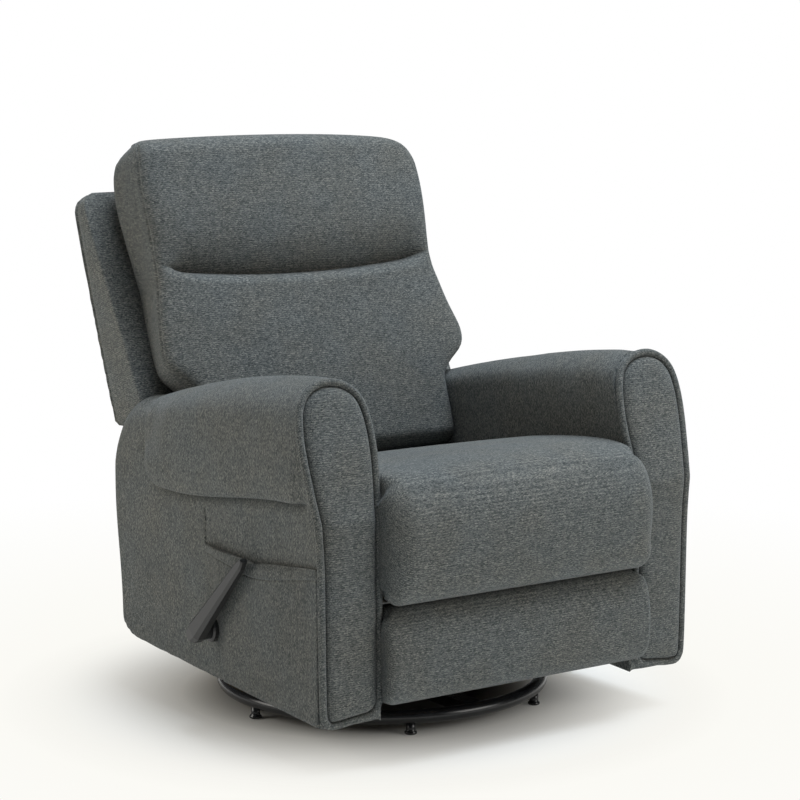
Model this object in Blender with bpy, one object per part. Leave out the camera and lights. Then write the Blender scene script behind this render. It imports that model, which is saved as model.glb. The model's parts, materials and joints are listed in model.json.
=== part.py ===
"""Swivel rocker recliner with lever-driven footrest and reclining back, in metres, +Z up.

The chair faces -Y.  Left and right are the sitter's: left is +X, right is -X.
Every piece is drawn in one chair frame whose vertical axis is the swivel axis;
the root empty then moves the whole chair so that the origin is the bottom middle of its box.
"""

import bmesh
import bpy
from math import asin, atan2, cos, degrees, hypot, pi, radians, sin, sqrt, tan
from mathutils import Vector

for old in list(bpy.data.objects):
    bpy.data.objects.remove(old, do_unlink=True)

# Fits shared by all pieces
CLEAR = 0.0003
PIN_CLEAR = 0.0004

# Base ring on the floor
RING_RADIUS = 0.2875
RING_TUBE = 0.025
RING_STEPS = 48
FOOT_HEIGHT = 0.0175
FOOT_RADIUS = 0.0115
FOOT_COUNT = 6
FOOT_FIRST_ANGLE = 5.0
CROSS_WIDTH = 0.030
CROSS_HEIGHT = 0.020

# Swivel bearing
SWIVEL_PLATE_SIZE = 0.180
SWIVEL_PLATE_THICKNESS = 0.003
BEARING_INNER_RADIUS = 0.055
BEARING_OUTER_RADIUS = 0.072
BEARING_HEIGHT = 0.008
KING_BOLT_RADIUS = 0.005
KING_HEAD_RADIUS = 0.010
KING_HEAD_HEIGHT = 0.006

# Rocker between turntable and chair
STRAP_Y = 0.060
STRAP_WIDTH = 0.030
STRAP_HEIGHT = 0.020
ROCKER_X = 0.170
RAIL_WIDTH = 0.025
ROCKER_RAIL_HEIGHT = 0.0245
ROCKER_RAIL_HALF = 0.160
PAD_HEIGHT = 0.0115
PAD_CROWN_RADIUS = 0.015
PAD_HALF = 0.012
CAM_RADIUS = 0.300
CAM_HALF = 0.115
CAM_HEIGHT = 0.030
CAM_THICKNESS = 0.008
SPRING_Y = 0.138
SPRING_RADIUS = 0.0095
SPRING_WIRE = 0.0040
SPRING_TURNS = 4

# Chassis of the chair
CHASSIS_RAIL_HEIGHT = 0.020
CHASSIS_FRONT_Y = -0.205
CHASSIS_REAR_Y = 0.195
CROSS_TUBE = 0.025
CROSS_TUBE_HEIGHT = 0.020

# Width between the arms, which places everything beside the seat
SEAT_HALF_WIDTH = 0.2610
SEAT_SIDE_GAP = 0.0053

# Arms, measured at the left arm
ARM_THICKNESS = 0.1172
ARM_BULGE = 0.012
ARM_CREST_OFFSET = 0.0587
ARM_BOARD_THICKNESS = 0.018
ARM_BOARD_TOP = 0.440
ARM_BOARD_REAR = 0.262
ARM_BOTTOM = 0.087
ARM_FRONT_Y = -0.389
ARM_REAR_Y = 0.2925
ARM_CREST_Y = -0.330
ARM_CREST_Z = 0.6300
ARM_CREST_SLOPE = 0.047
ARM_CREST_CURVE = 0.213
ARM_REAR_SHOULDER_Y = 0.190
ARM_REAR_SHOULDER_Z = 0.385
ARM_BOTTOM_CORNER = 0.055
ARM_SEAM_FRONT_Z = 0.425
ARM_SEAM_REAR_Z = 0.388
ARM_SEAM_RUN = 0.360
ARM_RAKE = 0.058
PANEL_THICKNESS = 0.022
PANEL_CROWN = 0.004
WELT_RADIUS = 0.0040

# Pocket on the right arm
POCKET_FRONT_Y = -0.352
POCKET_REAR_Y = -0.045
POCKET_BOTTOM = 0.104
POCKET_TOP = 0.322
POCKET_GAP = 0.009
POCKET_CLOTH = 0.003

# Seat
SEAT_RAIL_BOTTOM = 0.325
SEAT_RAIL_HEIGHT = 0.027
SEAT_RAIL_WIDTH = 0.0577
SEAT_FRONT_RAIL_Y = -0.360
SEAT_RAIL_DEPTH = 0.025
SEAT_REAR_RAIL_Y = 0.105
SEAT_NOSE_Y = -0.446
SEAT_NOSE_BOTTOM = 0.268
SEAT_NOSE_FLARE = 0.024
SEAT_EDGE_ROUND = 0.016
NOSE_ARM_GAP = 0.0045
FLARE_RUN = 0.016
SEAT_REAR_Y = 0.170
SEAT_CROWN = 0.009
SEAT_CROWN_FROM = 0.137
SEAT_SPRING_WIRE = 0.0036
DECK_ROWS = 13
DECK_MARGIN = 0.026

# Rear panel under the back
REAR_PANEL_Y = 0.262
REAR_PANEL_DEPTH = 0.023
REAR_PANEL_BOTTOM = 0.095
REAR_PANEL_TOP = 0.245
REAR_RAIL_DEPTH = 0.025
REAR_RAIL_HEIGHT = 0.060
REAR_RAIL_LIFT = 0.010

# Lever and footrest drive, side view points are (y, z)
LEVER_AXIS = (-0.055, 0.180)
LEVER_ANGLE = 45.4
LEVER_LENGTH = 0.206
LEVER_WIDTH_HUB = 0.036
LEVER_WIDTH_TIP = 0.017
LEVER_STANDOFF = 0.024
LEVER_DEPTH_HUB = 0.024
LEVER_DEPTH_TIP = 0.013
DRIVE_TUBE_RADIUS = 0.0095
CRANK_LENGTH = 0.055

# Footrest linkage, folded
REAR_LINK_PIVOT = (-0.275, 0.250)
REAR_LINK_KNEE = (-0.235, 0.108)
FOOTREST_PIVOT = (-0.325, 0.215)
REAR_LINK_OPEN_ANGLE = 188.0
CARRIER_OPEN_ANGLE = 160.0
CONTROL_OFFSET = 0.040
GUIDE_ALONG = 0.025
GUIDE_ACROSS = 0.005
LINK_WIDTH = 0.014
LINK_THICKNESS = 0.003
LINK_PITCH = 0.004
PIN_RADIUS = 0.0035
PIN_HEAD_RADIUS = 0.0058
PIN_HEAD = 0.0018
GUIDE_SLACK = 0.0047

# Footrest
FOOTREST_BOARD_Y = -0.345
FOOTREST_BOARD_THICKNESS = 0.012
FOOTREST_BOARD_MARGIN = 0.0230
FOOTREST_PAD_GAP = 0.0035
FOOTREST_BOTTOM = 0.100
FOOTREST_TOP = 0.260
FOOTREST_FRONT_Y = -0.4270
FOOTREST_FLARE = 0.0135
FOOTREST_EDGE_ROUND = 0.012

# Back, drawn upright about its hinge and then leaned
BACK_HINGE = (0.215, 0.330)
BACK_LEAN = 20.8
BACK_SHELL_HALF = 0.347
BACK_SIDE_GAP = 0.0083
BACK_NARROW_TOP = 0.185
BACK_SHELL_BOTTOM = -0.030
BACK_SHELL_TOP = 0.622
BACK_SHELL_FRONT = 0.0203
BACK_SHELL_REAR = 0.0820
BACK_WING_REACH = 0.054
BACK_WING_TOP = 0.029
BACK_WING_WIDTH = 0.034
BACK_FRAME_INSET = 0.051
BACK_FRAME_SIZE = 0.030
BACK_FRAME_TOP = 0.520
BACK_PANEL_THICKNESS = 0.015
BACK_CUSHION_BOTTOM = 0.045
BACK_CUSHION_TOP = 0.690
BACK_CUSHION_OVERHANG = 0.044
BACK_CUSHION_CORNER = 0.040
BACK_CUSHION_TUCK = 0.024
BACK_CUSHION_SIDE_GAP = 0.0103
BACK_CUSHION_FRONT = -0.118
BACK_CUSHION_WIDENS = 0.205
BACK_CUSHION_WIDEN_RUN = 0.060
BACK_CHANNEL_V = 0.413
BACK_CHANNEL_DEPTH = 0.028
BACK_CHANNEL_REACH = 0.030
BACK_LUMBAR = 0.006

# Widths that follow from the seat
ARM_BOARD_INNER = SEAT_HALF_WIDTH + SEAT_SIDE_GAP
ARM_SIDE_X = ARM_BOARD_INNER + ARM_THICKNESS
ARM_BULGE_X = ARM_SIDE_X + ARM_BULGE
ARM_CREST_X = ARM_BOARD_INNER + ARM_CREST_OFFSET
DECK_HALF = SEAT_HALF_WIDTH - DECK_MARGIN
FOOTREST_BOARD_HALF = SEAT_HALF_WIDTH - FOOTREST_BOARD_MARGIN
BACK_NARROW_HALF = ARM_BOARD_INNER - BACK_SIDE_GAP
BACK_FRAME_X = SEAT_HALF_WIDTH - BACK_FRAME_INSET
BACK_CUSHION_HALF = SEAT_HALF_WIDTH + BACK_CUSHION_OVERHANG
BACK_CUSHION_LOW_HALF = ARM_BOARD_INNER - BACK_CUSHION_SIDE_GAP

# Heights that follow from the stack
RING_Z = FOOT_HEIGHT + RING_TUBE / 2
CROSS_TOP = RING_Z + CROSS_HEIGHT / 2
LOWER_PLATE_Z = CROSS_TOP + CLEAR
BEARING_Z = LOWER_PLATE_Z + SWIVEL_PLATE_THICKNESS + CLEAR
UPPER_PLATE_Z = BEARING_Z + BEARING_HEIGHT + CLEAR
STRAP_Z = UPPER_PLATE_Z + SWIVEL_PLATE_THICKNESS
ROCKER_RAIL_Z = STRAP_Z + STRAP_HEIGHT + CLEAR
PAD_Z = ROCKER_RAIL_Z + ROCKER_RAIL_HEIGHT + CLEAR
ROCK_Z = PAD_Z + PAD_HEIGHT + CLEAR / 2
CAM_Z = PAD_Z + PAD_HEIGHT + CLEAR
CHASSIS_Z = CAM_Z + CAM_HEIGHT
CROSS_TUBE_Z = CHASSIS_Z - CLEAR - CROSS_TUBE_HEIGHT
SEAT_RAIL_TOP = SEAT_RAIL_BOTTOM + SEAT_RAIL_HEIGHT
SEAT_SPRING_Z = SEAT_RAIL_TOP + CLEAR + SEAT_SPRING_WIRE / 2
SEAT_BOTTOM = SEAT_SPRING_Z + SEAT_SPRING_WIRE / 2 + CLEAR

# Layers of the mechanism, from the arm board inwards
PLATE_OUTER = ARM_BOARD_INNER - CLEAR
PLATE_INNER = PLATE_OUTER - LINK_THICKNESS
LAYER_A = PLATE_INNER - 0.0036
LAYER_B = LAYER_A - LINK_PITCH
LAYER_C = LAYER_B - LINK_PITCH
ARM_SKIN_INNER = ARM_BOARD_INNER + ARM_BOARD_THICKNESS + CLEAR
SEAT_RAIL_INNER = PLATE_INNER - CLEAR - SEAT_RAIL_WIDTH

SIDES = (("left", 1), ("right", -1))
ORIGIN = (0.0, 0.0, 0.0)


def material(name, colour, roughness, metallic=0.0):
    made = bpy.data.materials.new(name)
    made.use_nodes = True
    shader = made.node_tree.nodes["Principled BSDF"]
    shader.inputs["Base Color"].default_value = (*colour, 1.0)
    shader.inputs["Roughness"].default_value = roughness
    shader.inputs["Metallic"].default_value = metallic
    return made


FABRIC = material("upholstery_fabric", (0.13, 0.17, 0.20), 0.95)
WELT = material("welt_fabric", (0.11, 0.15, 0.18), 0.95)
BLACK_STEEL = material("black_steel", (0.012, 0.012, 0.013), 0.35, 0.6)
ZINC_STEEL = material("zinc_steel", (0.52, 0.53, 0.54), 0.35, 1.0)
SPRING_STEEL = material("spring_steel", (0.30, 0.30, 0.31), 0.4, 1.0)
PLASTIC = material("black_plastic", (0.015, 0.015, 0.016), 0.4)
NYLON = material("nylon", (0.75, 0.74, 0.70), 0.5)
PLYWOOD = material("plywood", (0.58, 0.42, 0.26), 0.7)

ROOT = bpy.data.objects.new("recliner_root", None)
bpy.context.scene.collection.objects.link(ROOT)


def add(name, mesh_data, surface, origin=ORIGIN, lean=0.0):
    """Close the mesh, put its origin on the given point and hang it on the root."""
    bmesh.ops.remove_doubles(mesh_data, verts=mesh_data.verts, dist=1e-6)
    bmesh.ops.recalc_face_normals(mesh_data, faces=mesh_data.faces)
    if not lean:
        bmesh.ops.translate(mesh_data, verts=mesh_data.verts, vec=-Vector(origin))
    mesh = bpy.data.meshes.new(name)
    mesh_data.to_mesh(mesh)
    mesh_data.free()
    mesh.materials.append(surface)
    made = bpy.data.objects.new(name, mesh)
    bpy.context.scene.collection.objects.link(made)
    made.location = origin
    made.rotation_euler = (radians(lean), 0.0, 0.0)
    made.parent = ROOT
    return made


def combine(target, tool, kind):
    """Cut or join a second solid into the first one and drop the second one."""
    flat = bmesh.new()
    flat.from_mesh(target.data)
    bmesh.ops.triangulate(flat, faces=flat.faces)
    flat.to_mesh(target.data)
    flat.free()
    change = target.modifiers.new(kind.lower(), "BOOLEAN")
    change.operation = kind
    change.solver = "EXACT"
    change.object = tool
    bpy.context.view_layer.update()
    shaped = target.evaluated_get(bpy.context.evaluated_depsgraph_get())
    result = bpy.data.meshes.new_from_object(shaped)
    target.modifiers.clear()
    target.data = result
    bpy.data.objects.remove(tool, do_unlink=True)


def box(low, high, bevel=0.0, into=None):
    """A block between two corners with its edges eased."""
    made = into or bmesh.new()
    fresh = bmesh.ops.create_cube(made, size=1.0)["verts"]
    for vert in fresh:
        for axis in range(3):
            middle = (low[axis] + high[axis]) / 2
            vert.co[axis] = middle + vert.co[axis] * (high[axis] - low[axis])
    if bevel:
        edges = list({edge for vert in fresh for edge in vert.link_edges})
        bmesh.ops.bevel(made, geom=edges, offset=bevel, segments=1, affect="EDGES")
    return made


def lathe(profile, steps, centre=ORIGIN, axis="Z", into=None, closed=False, turn=0.0):
    """Revolve (radius, height) points; open profiles are closed at the axis."""
    made = into or bmesh.new()
    rings = []
    for step in range(steps):
        angle = turn + 2 * pi * step / steps
        ring = []
        for radius, height in profile:
            a, b = radius * cos(angle), radius * sin(angle)
            spot = (a, b, height) if axis == "Z" else (height, a, b)
            ring.append(made.verts.new(Vector(centre) + Vector(spot)))
        rings.append(ring)
    count = len(profile)
    last = count if closed else count - 1
    for step in range(steps):
        here, there = rings[step], rings[(step + 1) % steps]
        for k in range(last):
            n = (k + 1) % count
            made.faces.new((here[k], there[k], there[n], here[n]))
    if not closed:
        made.faces.new([ring[0] for ring in rings])
        made.faces.new([ring[-1] for ring in reversed(rings)])
    return made


def rod(radius, start, end, steps, centre, into=None):
    """A round bar along X between two x positions."""
    place = (0.0, centre[0], centre[1])
    return lathe([(radius, start), (radius, end)], steps, place, "X", into)


def close_in_rows(made, ring):
    """Fill a ring that climbs one side and comes down the other, in level rows between them."""
    peak = max(range(len(ring)), key=lambda k: ring[k].co.z)
    up, down = ring[:peak + 1], list(reversed(ring[peak:]))
    i, j = 0, 0
    while i < len(up) - 1 or j < len(down) - 1:
        rise = up[i + 1].co.z if i < len(up) - 1 else 1e9
        other = down[j + 1].co.z if j < len(down) - 1 else 1e9
        corners = [up[i], down[j], up[i + 1] if rise <= other else down[j + 1]]
        if len(set(corners)) == 3:
            made.faces.new(corners)
        if rise <= other:
            i += 1
        else:
            j += 1


def loft(rings, into=None, closed=False, rows_filled=False):
    """Skin equal rings of points and fill both ends unless the loft closes on itself."""
    made = into or bmesh.new()
    rows = [[made.verts.new(point) for point in ring] for ring in rings]
    count = len(rows[0])
    spans = len(rows) if closed else len(rows) - 1
    for r in range(spans):
        here, there = rows[r], rows[(r + 1) % len(rows)]
        for k in range(count):
            n = (k + 1) % count
            made.faces.new((here[k], here[n], there[n], there[k]))
    if rows_filled:
        close_in_rows(made, rows[0])
        close_in_rows(made, rows[-1])
    elif not closed:
        ends = [made.faces.new(list(reversed(rows[0]))), made.faces.new(rows[-1])]
        bmesh.ops.triangulate(made, faces=ends)
    return made


def sweep(path, radius, sides, into=None, up=Vector((0.0, 0.0, 1.0))):
    """A round tube along a list of points, with flat ends."""
    path = [Vector(point) for point in path]
    rings = []
    side = None
    for k, point in enumerate(path):
        ahead = path[min(k + 1, len(path) - 1)]
        behind = path[max(k - 1, 0)]
        along = (ahead - behind).normalized()
        if side is None:
            side = along.cross(up).normalized()
        side = (side - along * side.dot(along)).normalized()
        other = along.cross(side)
        turns = [2 * pi * s / sides for s in range(sides)]
        rings.append([point + radius * (side * cos(t) + other * sin(t)) for t in turns])
    return loft(rings, into)


def circle(centre, radius, steps, start=0.0):
    turns = [start + 2 * pi * k / steps for k in range(steps)]
    return [(centre[0] + radius * cos(t), centre[1] + radius * sin(t)) for t in turns]


def arc(centre, radius, first, last, steps):
    turns = [radians(first + (last - first) * k / steps) for k in range(steps + 1)]
    return [(centre[0] + radius * cos(t), centre[1] + radius * sin(t)) for t in turns]


def prism(outline, low, high, holes=(), studs=(), axis="X", into=None):
    """Extrude an outline along an axis, with through holes and headed studs.

    A stud is (centre, direction, reach, head radius): its shank leaves the low or the high face
    (direction -1 or 1), runs for its reach and ends in a head.
    """
    made = into or bmesh.new()

    def place(point, level):
        if axis == "X":
            return Vector((level, point[0], point[1]))
        if axis == "Y":
            return Vector((point[0], level, point[1]))
        return Vector((point[0], point[1], level))

    def ring(points, level):
        return [made.verts.new(place(point, level)) for point in points]

    def edges(loop):
        joined = []
        for k, vert in enumerate(loop):
            after = loop[(k + 1) % len(loop)]
            joined.append(made.edges.get((vert, after)) or made.edges.new((vert, after)))
        return joined

    def wall(first, second):
        for k in range(len(first)):
            n = (k + 1) % len(first)
            made.faces.new((first[k], first[n], second[n], second[k]))

    loops = [outline] + [circle(spot, radius, 12) for spot, radius in holes]
    low_loops = [ring(points, low) for points in loops]
    high_loops = [ring(points, high) for points in loops]
    for first, second in zip(low_loops, high_loops):
        wall(first, second)
    for spot, way, reach, head in studs:
        face = high if way > 0 else low
        shank = circle(spot, PIN_RADIUS, 10)
        cap = circle(spot, head, 10)
        foot = ring(shank, face)
        neck = ring(shank, face + way * reach)
        under = ring(cap, face + way * reach)
        top = ring(cap, face + way * (reach + PIN_HEAD))
        wall(foot, neck)
        wall(neck, under)
        wall(under, top)
        made.faces.new(top)
        (high_loops if way > 0 else low_loops).append(foot)
    for level_loops in (low_loops, high_loops):
        border = [edge for loop in level_loops for edge in edges(loop)]
        bmesh.ops.triangle_fill(made, use_beauty=True, edges=border)
    return made


def bar_outline(first, second, width, extra=None):
    """A flat link with round ends between two pivots, in the side view."""
    angle = degrees(atan2(second[1] - first[1], second[0] - first[0]))
    end = extra or width
    near = arc(first, width / 2, angle + 90, angle + 270, 5)
    far = arc(second, end / 2, angle - 90, angle + 90, 5)
    return near + far


def along(first, second, distance):
    """The point at a distance from the first point towards the second."""
    length = hypot(second[0] - first[0], second[1] - first[1])
    share = distance / length
    return tuple(first[k] + (second[k] - first[k]) * share for k in range(2))


def shifted(point, first, second):
    return tuple(point[k] + second[k] - first[k] for k in range(2))


def side_levels(side, low, high):
    """Extents of a left-hand layer carried to the named side."""
    return (low, high) if side > 0 else (-high, -low)


def ease(value):
    value = min(max(value, 0.0), 1.0)
    return value * value * (3 - 2 * value)


# Base: ring, cross, glides and the fixed half of the swivel

tube = circle((RING_RADIUS, RING_Z), RING_TUBE / 2, 8)
ring = add("base_ring", lathe(tube, RING_STEPS, closed=True), BLACK_STEEL)
foot_profile = [(FOOT_RADIUS - 0.003, 0.0), (FOOT_RADIUS, 0.003), (FOOT_RADIUS, RING_Z - 0.004)]
for k in range(FOOT_COUNT):
    turn = radians(FOOT_FIRST_ANGLE) + 2 * pi * k / FOOT_COUNT
    spot = (RING_RADIUS * cos(turn), RING_RADIUS * sin(turn), 0.0)
    combine(ring, add("foot", lathe(foot_profile, 12, spot), BLACK_STEEL), "UNION")

cross_half = RING_RADIUS - RING_TUBE / 2 - tan(pi / RING_STEPS) * CROSS_WIDTH / 2 - CLEAR
w = CROSS_WIDTH / 2
h = cross_half
plus = [(h, -w), (h, w), (w, w), (w, h), (-w, h), (-w, w)]
plus += [(-h, w), (-h, -w), (-w, -w), (-w, -h), (w, -h), (w, -w)]
king_hole = [((0.0, 0.0), KING_BOLT_RADIUS + PIN_CLEAR)]
cross = prism(plus, RING_Z - CROSS_HEIGHT / 2, CROSS_TOP, king_hole, axis="Z")
add("base_cross", cross, BLACK_STEEL)

s = SWIVEL_PLATE_SIZE / 2
c = 0.014
swivel_outline = [(s - c, -s), (s, -s + c), (s, s - c), (s - c, s)]
swivel_outline += [(-s + c, s), (-s, s - c), (-s, -s + c), (-s + c, -s)]
plate_top = LOWER_PLATE_Z + SWIVEL_PLATE_THICKNESS
lower_plate = prism(swivel_outline, LOWER_PLATE_Z, plate_top, king_hole, axis="Z")
add("swivel_lower_plate", lower_plate, ZINC_STEEL)

king_low = RING_Z - CROSS_HEIGHT / 2 - CLEAR
king_profile = [
    (KING_HEAD_RADIUS, king_low - KING_HEAD_HEIGHT),
    (KING_HEAD_RADIUS, king_low),
    (KING_BOLT_RADIUS, king_low),
    (KING_BOLT_RADIUS, STRAP_Z + CLEAR),
    (KING_HEAD_RADIUS, STRAP_Z + CLEAR),
    (KING_HEAD_RADIUS, STRAP_Z + CLEAR + KING_HEAD_HEIGHT),
]
add("swivel_king_bolt", lathe(king_profile, 12), ZINC_STEEL)

# Turntable: the turning half of the swivel and the rocker base

bearing = [
    (BEARING_INNER_RADIUS, BEARING_Z),
    (BEARING_OUTER_RADIUS, BEARING_Z),
    (BEARING_OUTER_RADIUS, BEARING_Z + BEARING_HEIGHT),
    (BEARING_INNER_RADIUS, BEARING_Z + BEARING_HEIGHT),
]
add("swivel_bearing_ring", lathe(bearing, 24, closed=True), NYLON)
plate_top = UPPER_PLATE_Z + SWIVEL_PLATE_THICKNESS
upper_plate = prism(swivel_outline, UPPER_PLATE_Z, plate_top, king_hole, axis="Z")
turntable = add("swivel_upper_plate", upper_plate, BLACK_STEEL)
strap_half = ROCKER_X + RAIL_WIDTH / 2
for way in (-1, 1):
    y = way * STRAP_Y
    low = (-strap_half, y - STRAP_WIDTH / 2, STRAP_Z - 0.001)
    high = (strap_half, y + STRAP_WIDTH / 2, STRAP_Z + STRAP_HEIGHT)
    combine(turntable, add("strap", box(low, high), BLACK_STEEL), "UNION")

crown_z = PAD_Z + PAD_HEIGHT - PAD_CROWN_RADIUS
crown_angle = degrees(asin(PAD_HALF / PAD_CROWN_RADIUS))
pad_outline = [(-PAD_HALF, PAD_Z), (PAD_HALF, PAD_Z)]
pad_outline += arc((0.0, crown_z), PAD_CROWN_RADIUS, 90 - crown_angle, 90 + crown_angle, 10)
cam_angle = degrees(asin(CAM_HALF / CAM_RADIUS))
cam_outline = arc((0.0, CAM_Z + CAM_RADIUS), CAM_RADIUS, 270 - cam_angle, 270 + cam_angle, 16)
cam_weld = CHASSIS_Z + CHASSIS_RAIL_HEIGHT / 2
cam_outline += [(CAM_HALF, cam_weld), (-CAM_HALF, cam_weld)]
coil_low = PAD_Z + SPRING_WIRE / 2
coil_high = CHASSIS_Z - CLEAR - SPRING_WIRE / 2
coil_points = []
for k in range(SPRING_TURNS * 9 + 1):
    share = k / (SPRING_TURNS * 9)
    turn = 2 * pi * SPRING_TURNS * share
    lift = coil_low + (coil_high - coil_low) * share
    coil_points.append(Vector((SPRING_RADIUS * cos(turn), SPRING_RADIUS * sin(turn), lift)))
coil_gap = min(
    (coil_points[i] - coil_points[j]).length - SPRING_WIRE
    for i in range(len(coil_points))
    for j in range(i + 5, len(coil_points))
)
print("rocker spring least gap to itself: %.2f mm" % (coil_gap * 1000))
for name, side in SIDES:
    x = side * ROCKER_X
    low = (x - RAIL_WIDTH / 2, -ROCKER_RAIL_HALF, ROCKER_RAIL_Z)
    high = (x + RAIL_WIDTH / 2, ROCKER_RAIL_HALF, ROCKER_RAIL_Z + ROCKER_RAIL_HEIGHT)
    add("rocker_rail_" + name, box(low, high, 0.002), BLACK_STEEL)
    add("rocker_pad_" + name, prism(pad_outline, x - RAIL_WIDTH / 2, x + RAIL_WIDTH / 2), NYLON)
    coil = sweep([point + Vector((x, SPRING_Y, 0.0)) for point in coil_points], SPRING_WIRE / 2, 6)
    add("rocker_spring_" + name, coil, SPRING_STEEL)

# Chassis of the chair: cams, rails, cross tubes

ROCK_AXIS = (0.0, 0.0, ROCK_Z)
chassis_end = CROSS_TUBE / 2
for name, side in SIDES:
    x = side * ROCKER_X
    low = (x - RAIL_WIDTH / 2, CHASSIS_FRONT_Y - chassis_end, CHASSIS_Z)
    high = (x + RAIL_WIDTH / 2, CHASSIS_REAR_Y + chassis_end, CHASSIS_Z + CHASSIS_RAIL_HEIGHT)
    rail = add("chassis_rail_" + name, box(low, high, 0.002), BLACK_STEEL, ROCK_AXIS)
    cam = prism(cam_outline, x - CAM_THICKNESS / 2, x + CAM_THICKNESS / 2)
    combine(rail, add("cam", cam, BLACK_STEEL, ROCK_AXIS), "UNION")
tube_half = PLATE_INNER - CLEAR
for name, y in (("front", CHASSIS_FRONT_Y), ("rear", CHASSIS_REAR_Y)):
    low = (-tube_half, y - CROSS_TUBE / 2, CROSS_TUBE_Z)
    high = (tube_half, y + CROSS_TUBE / 2, CROSS_TUBE_Z + CROSS_TUBE_HEIGHT)
    add("chassis_cross_tube_" + name, box(low, high, 0.002), BLACK_STEEL, ROCK_AXIS)

# Points of the footrest linkage in the side view

knee = REAR_LINK_KNEE
control_start = along(knee, REAR_LINK_PIVOT, CONTROL_OFFSET)
control_end = shifted(FOOTREST_PIVOT, knee, control_start)
crank_pin = shifted(LEVER_AXIS, REAR_LINK_PIVOT, along(REAR_LINK_PIVOT, knee, CRANK_LENGTH))
rod_end = along(REAR_LINK_PIVOT, knee, CRANK_LENGTH)
rear_length = hypot(knee[0] - REAR_LINK_PIVOT[0], knee[1] - REAR_LINK_PIVOT[1])
rear_angle = atan2(knee[1] - REAR_LINK_PIVOT[1], knee[0] - REAR_LINK_PIVOT[0]) % (2 * pi)
carrier_angle = atan2(FOOTREST_PIVOT[1] - knee[1], FOOTREST_PIVOT[0] - knee[0])
rear_swing = radians(REAR_LINK_OPEN_ANGLE) - rear_angle
carrier_swing = radians(CARRIER_OPEN_ANGLE) - carrier_angle


def guide_point(share):
    """Where the guide's pin on the carrier is when the linkage is opened by a share of its swing."""
    rear = rear_angle + rear_swing * share
    carrier = carrier_angle + carrier_swing * share
    y = REAR_LINK_PIVOT[0] + rear_length * cos(rear)
    z = REAR_LINK_PIVOT[1] + rear_length * sin(rear)
    y += GUIDE_ALONG * cos(carrier) - GUIDE_ACROSS * sin(carrier)
    z += GUIDE_ALONG * sin(carrier) + GUIDE_ACROSS * cos(carrier)
    return y, z


def circle_centre(a, b, c):
    d = 2 * (a[0] * (b[1] - c[1]) + b[0] * (c[1] - a[1]) + c[0] * (a[1] - b[1]))
    squares = [p[0] * p[0] + p[1] * p[1] for p in (a, b, c)]
    y = squares[0] * (b[1] - c[1]) + squares[1] * (c[1] - a[1]) + squares[2] * (a[1] - b[1])
    z = squares[0] * (c[0] - b[0]) + squares[1] * (a[0] - c[0]) + squares[2] * (b[0] - a[0])
    return y / d, z / d


guide_pin = guide_point(0.0)
guide_opened = guide_point(1.0)
GUIDE_PIVOT = circle_centre(guide_pin, guide_point(0.5), guide_opened)
guide_first = atan2(guide_pin[1] - GUIDE_PIVOT[1], guide_pin[0] - GUIDE_PIVOT[0]) % (2 * pi)
guide_last = atan2(guide_opened[1] - GUIDE_PIVOT[1], guide_opened[0] - GUIDE_PIVOT[0]) % (2 * pi)
PIN_HOLE = PIN_RADIUS + PIN_CLEAR

# Mechanism side plates with the fixed pivots

plate_outline = [
    (GUIDE_PIVOT[0] - 0.014, SEAT_RAIL_TOP - 0.006),
    (GUIDE_PIVOT[0] - 0.008, SEAT_RAIL_TOP),
    (SEAT_REAR_RAIL_Y + SEAT_RAIL_DEPTH, SEAT_RAIL_TOP),
    (BACK_HINGE[0] + 0.004, BACK_HINGE[1] + 0.018),
    (BACK_HINGE[0] + 0.015, BACK_HINGE[1] + 0.010),
    (BACK_HINGE[0] + 0.018, BACK_HINGE[1] - 0.004),
    (CHASSIS_REAR_Y + 0.020, CROSS_TUBE_Z + 0.090),
    (CHASSIS_REAR_Y + 0.018, CROSS_TUBE_Z - 0.002),
    (CHASSIS_REAR_Y - 0.018, CROSS_TUBE_Z - 0.002),
    (CHASSIS_REAR_Y - 0.030, CROSS_TUBE_Z + 0.110),
    (LEVER_AXIS[0] + 0.070, SEAT_RAIL_BOTTOM - 0.060),
    (LEVER_AXIS[0] + 0.020, LEVER_AXIS[1] - 0.004),
    (LEVER_AXIS[0] + 0.012, LEVER_AXIS[1] - 0.018),
    (LEVER_AXIS[0] - 0.012, LEVER_AXIS[1] - 0.018),
    (LEVER_AXIS[0] - 0.020, LEVER_AXIS[1] - 0.004),
    (LEVER_AXIS[0] - 0.045, SEAT_RAIL_BOTTOM - 0.070),
    (CHASSIS_FRONT_Y + 0.030, CROSS_TUBE_Z + 0.110),
    (CHASSIS_FRONT_Y + 0.018, CROSS_TUBE_Z - 0.002),
    (CHASSIS_FRONT_Y - 0.018, CROSS_TUBE_Z - 0.002),
    (CHASSIS_FRONT_Y - 0.030, CROSS_TUBE_Z + 0.090),
    (REAR_LINK_PIVOT[0] + 0.004, REAR_LINK_PIVOT[1] - 0.014),
    (REAR_LINK_PIVOT[0] - 0.012, REAR_LINK_PIVOT[1] - 0.012),
    (GUIDE_PIVOT[0] - 0.012, GUIDE_PIVOT[1] - 0.008),
]
HINGE_PIN_RADIUS = 0.005
bush_hole = (LEVER_AXIS, DRIVE_TUBE_RADIUS + PIN_CLEAR)
hinge_hole = (BACK_HINGE, HINGE_PIN_RADIUS + PIN_CLEAR)
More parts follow.
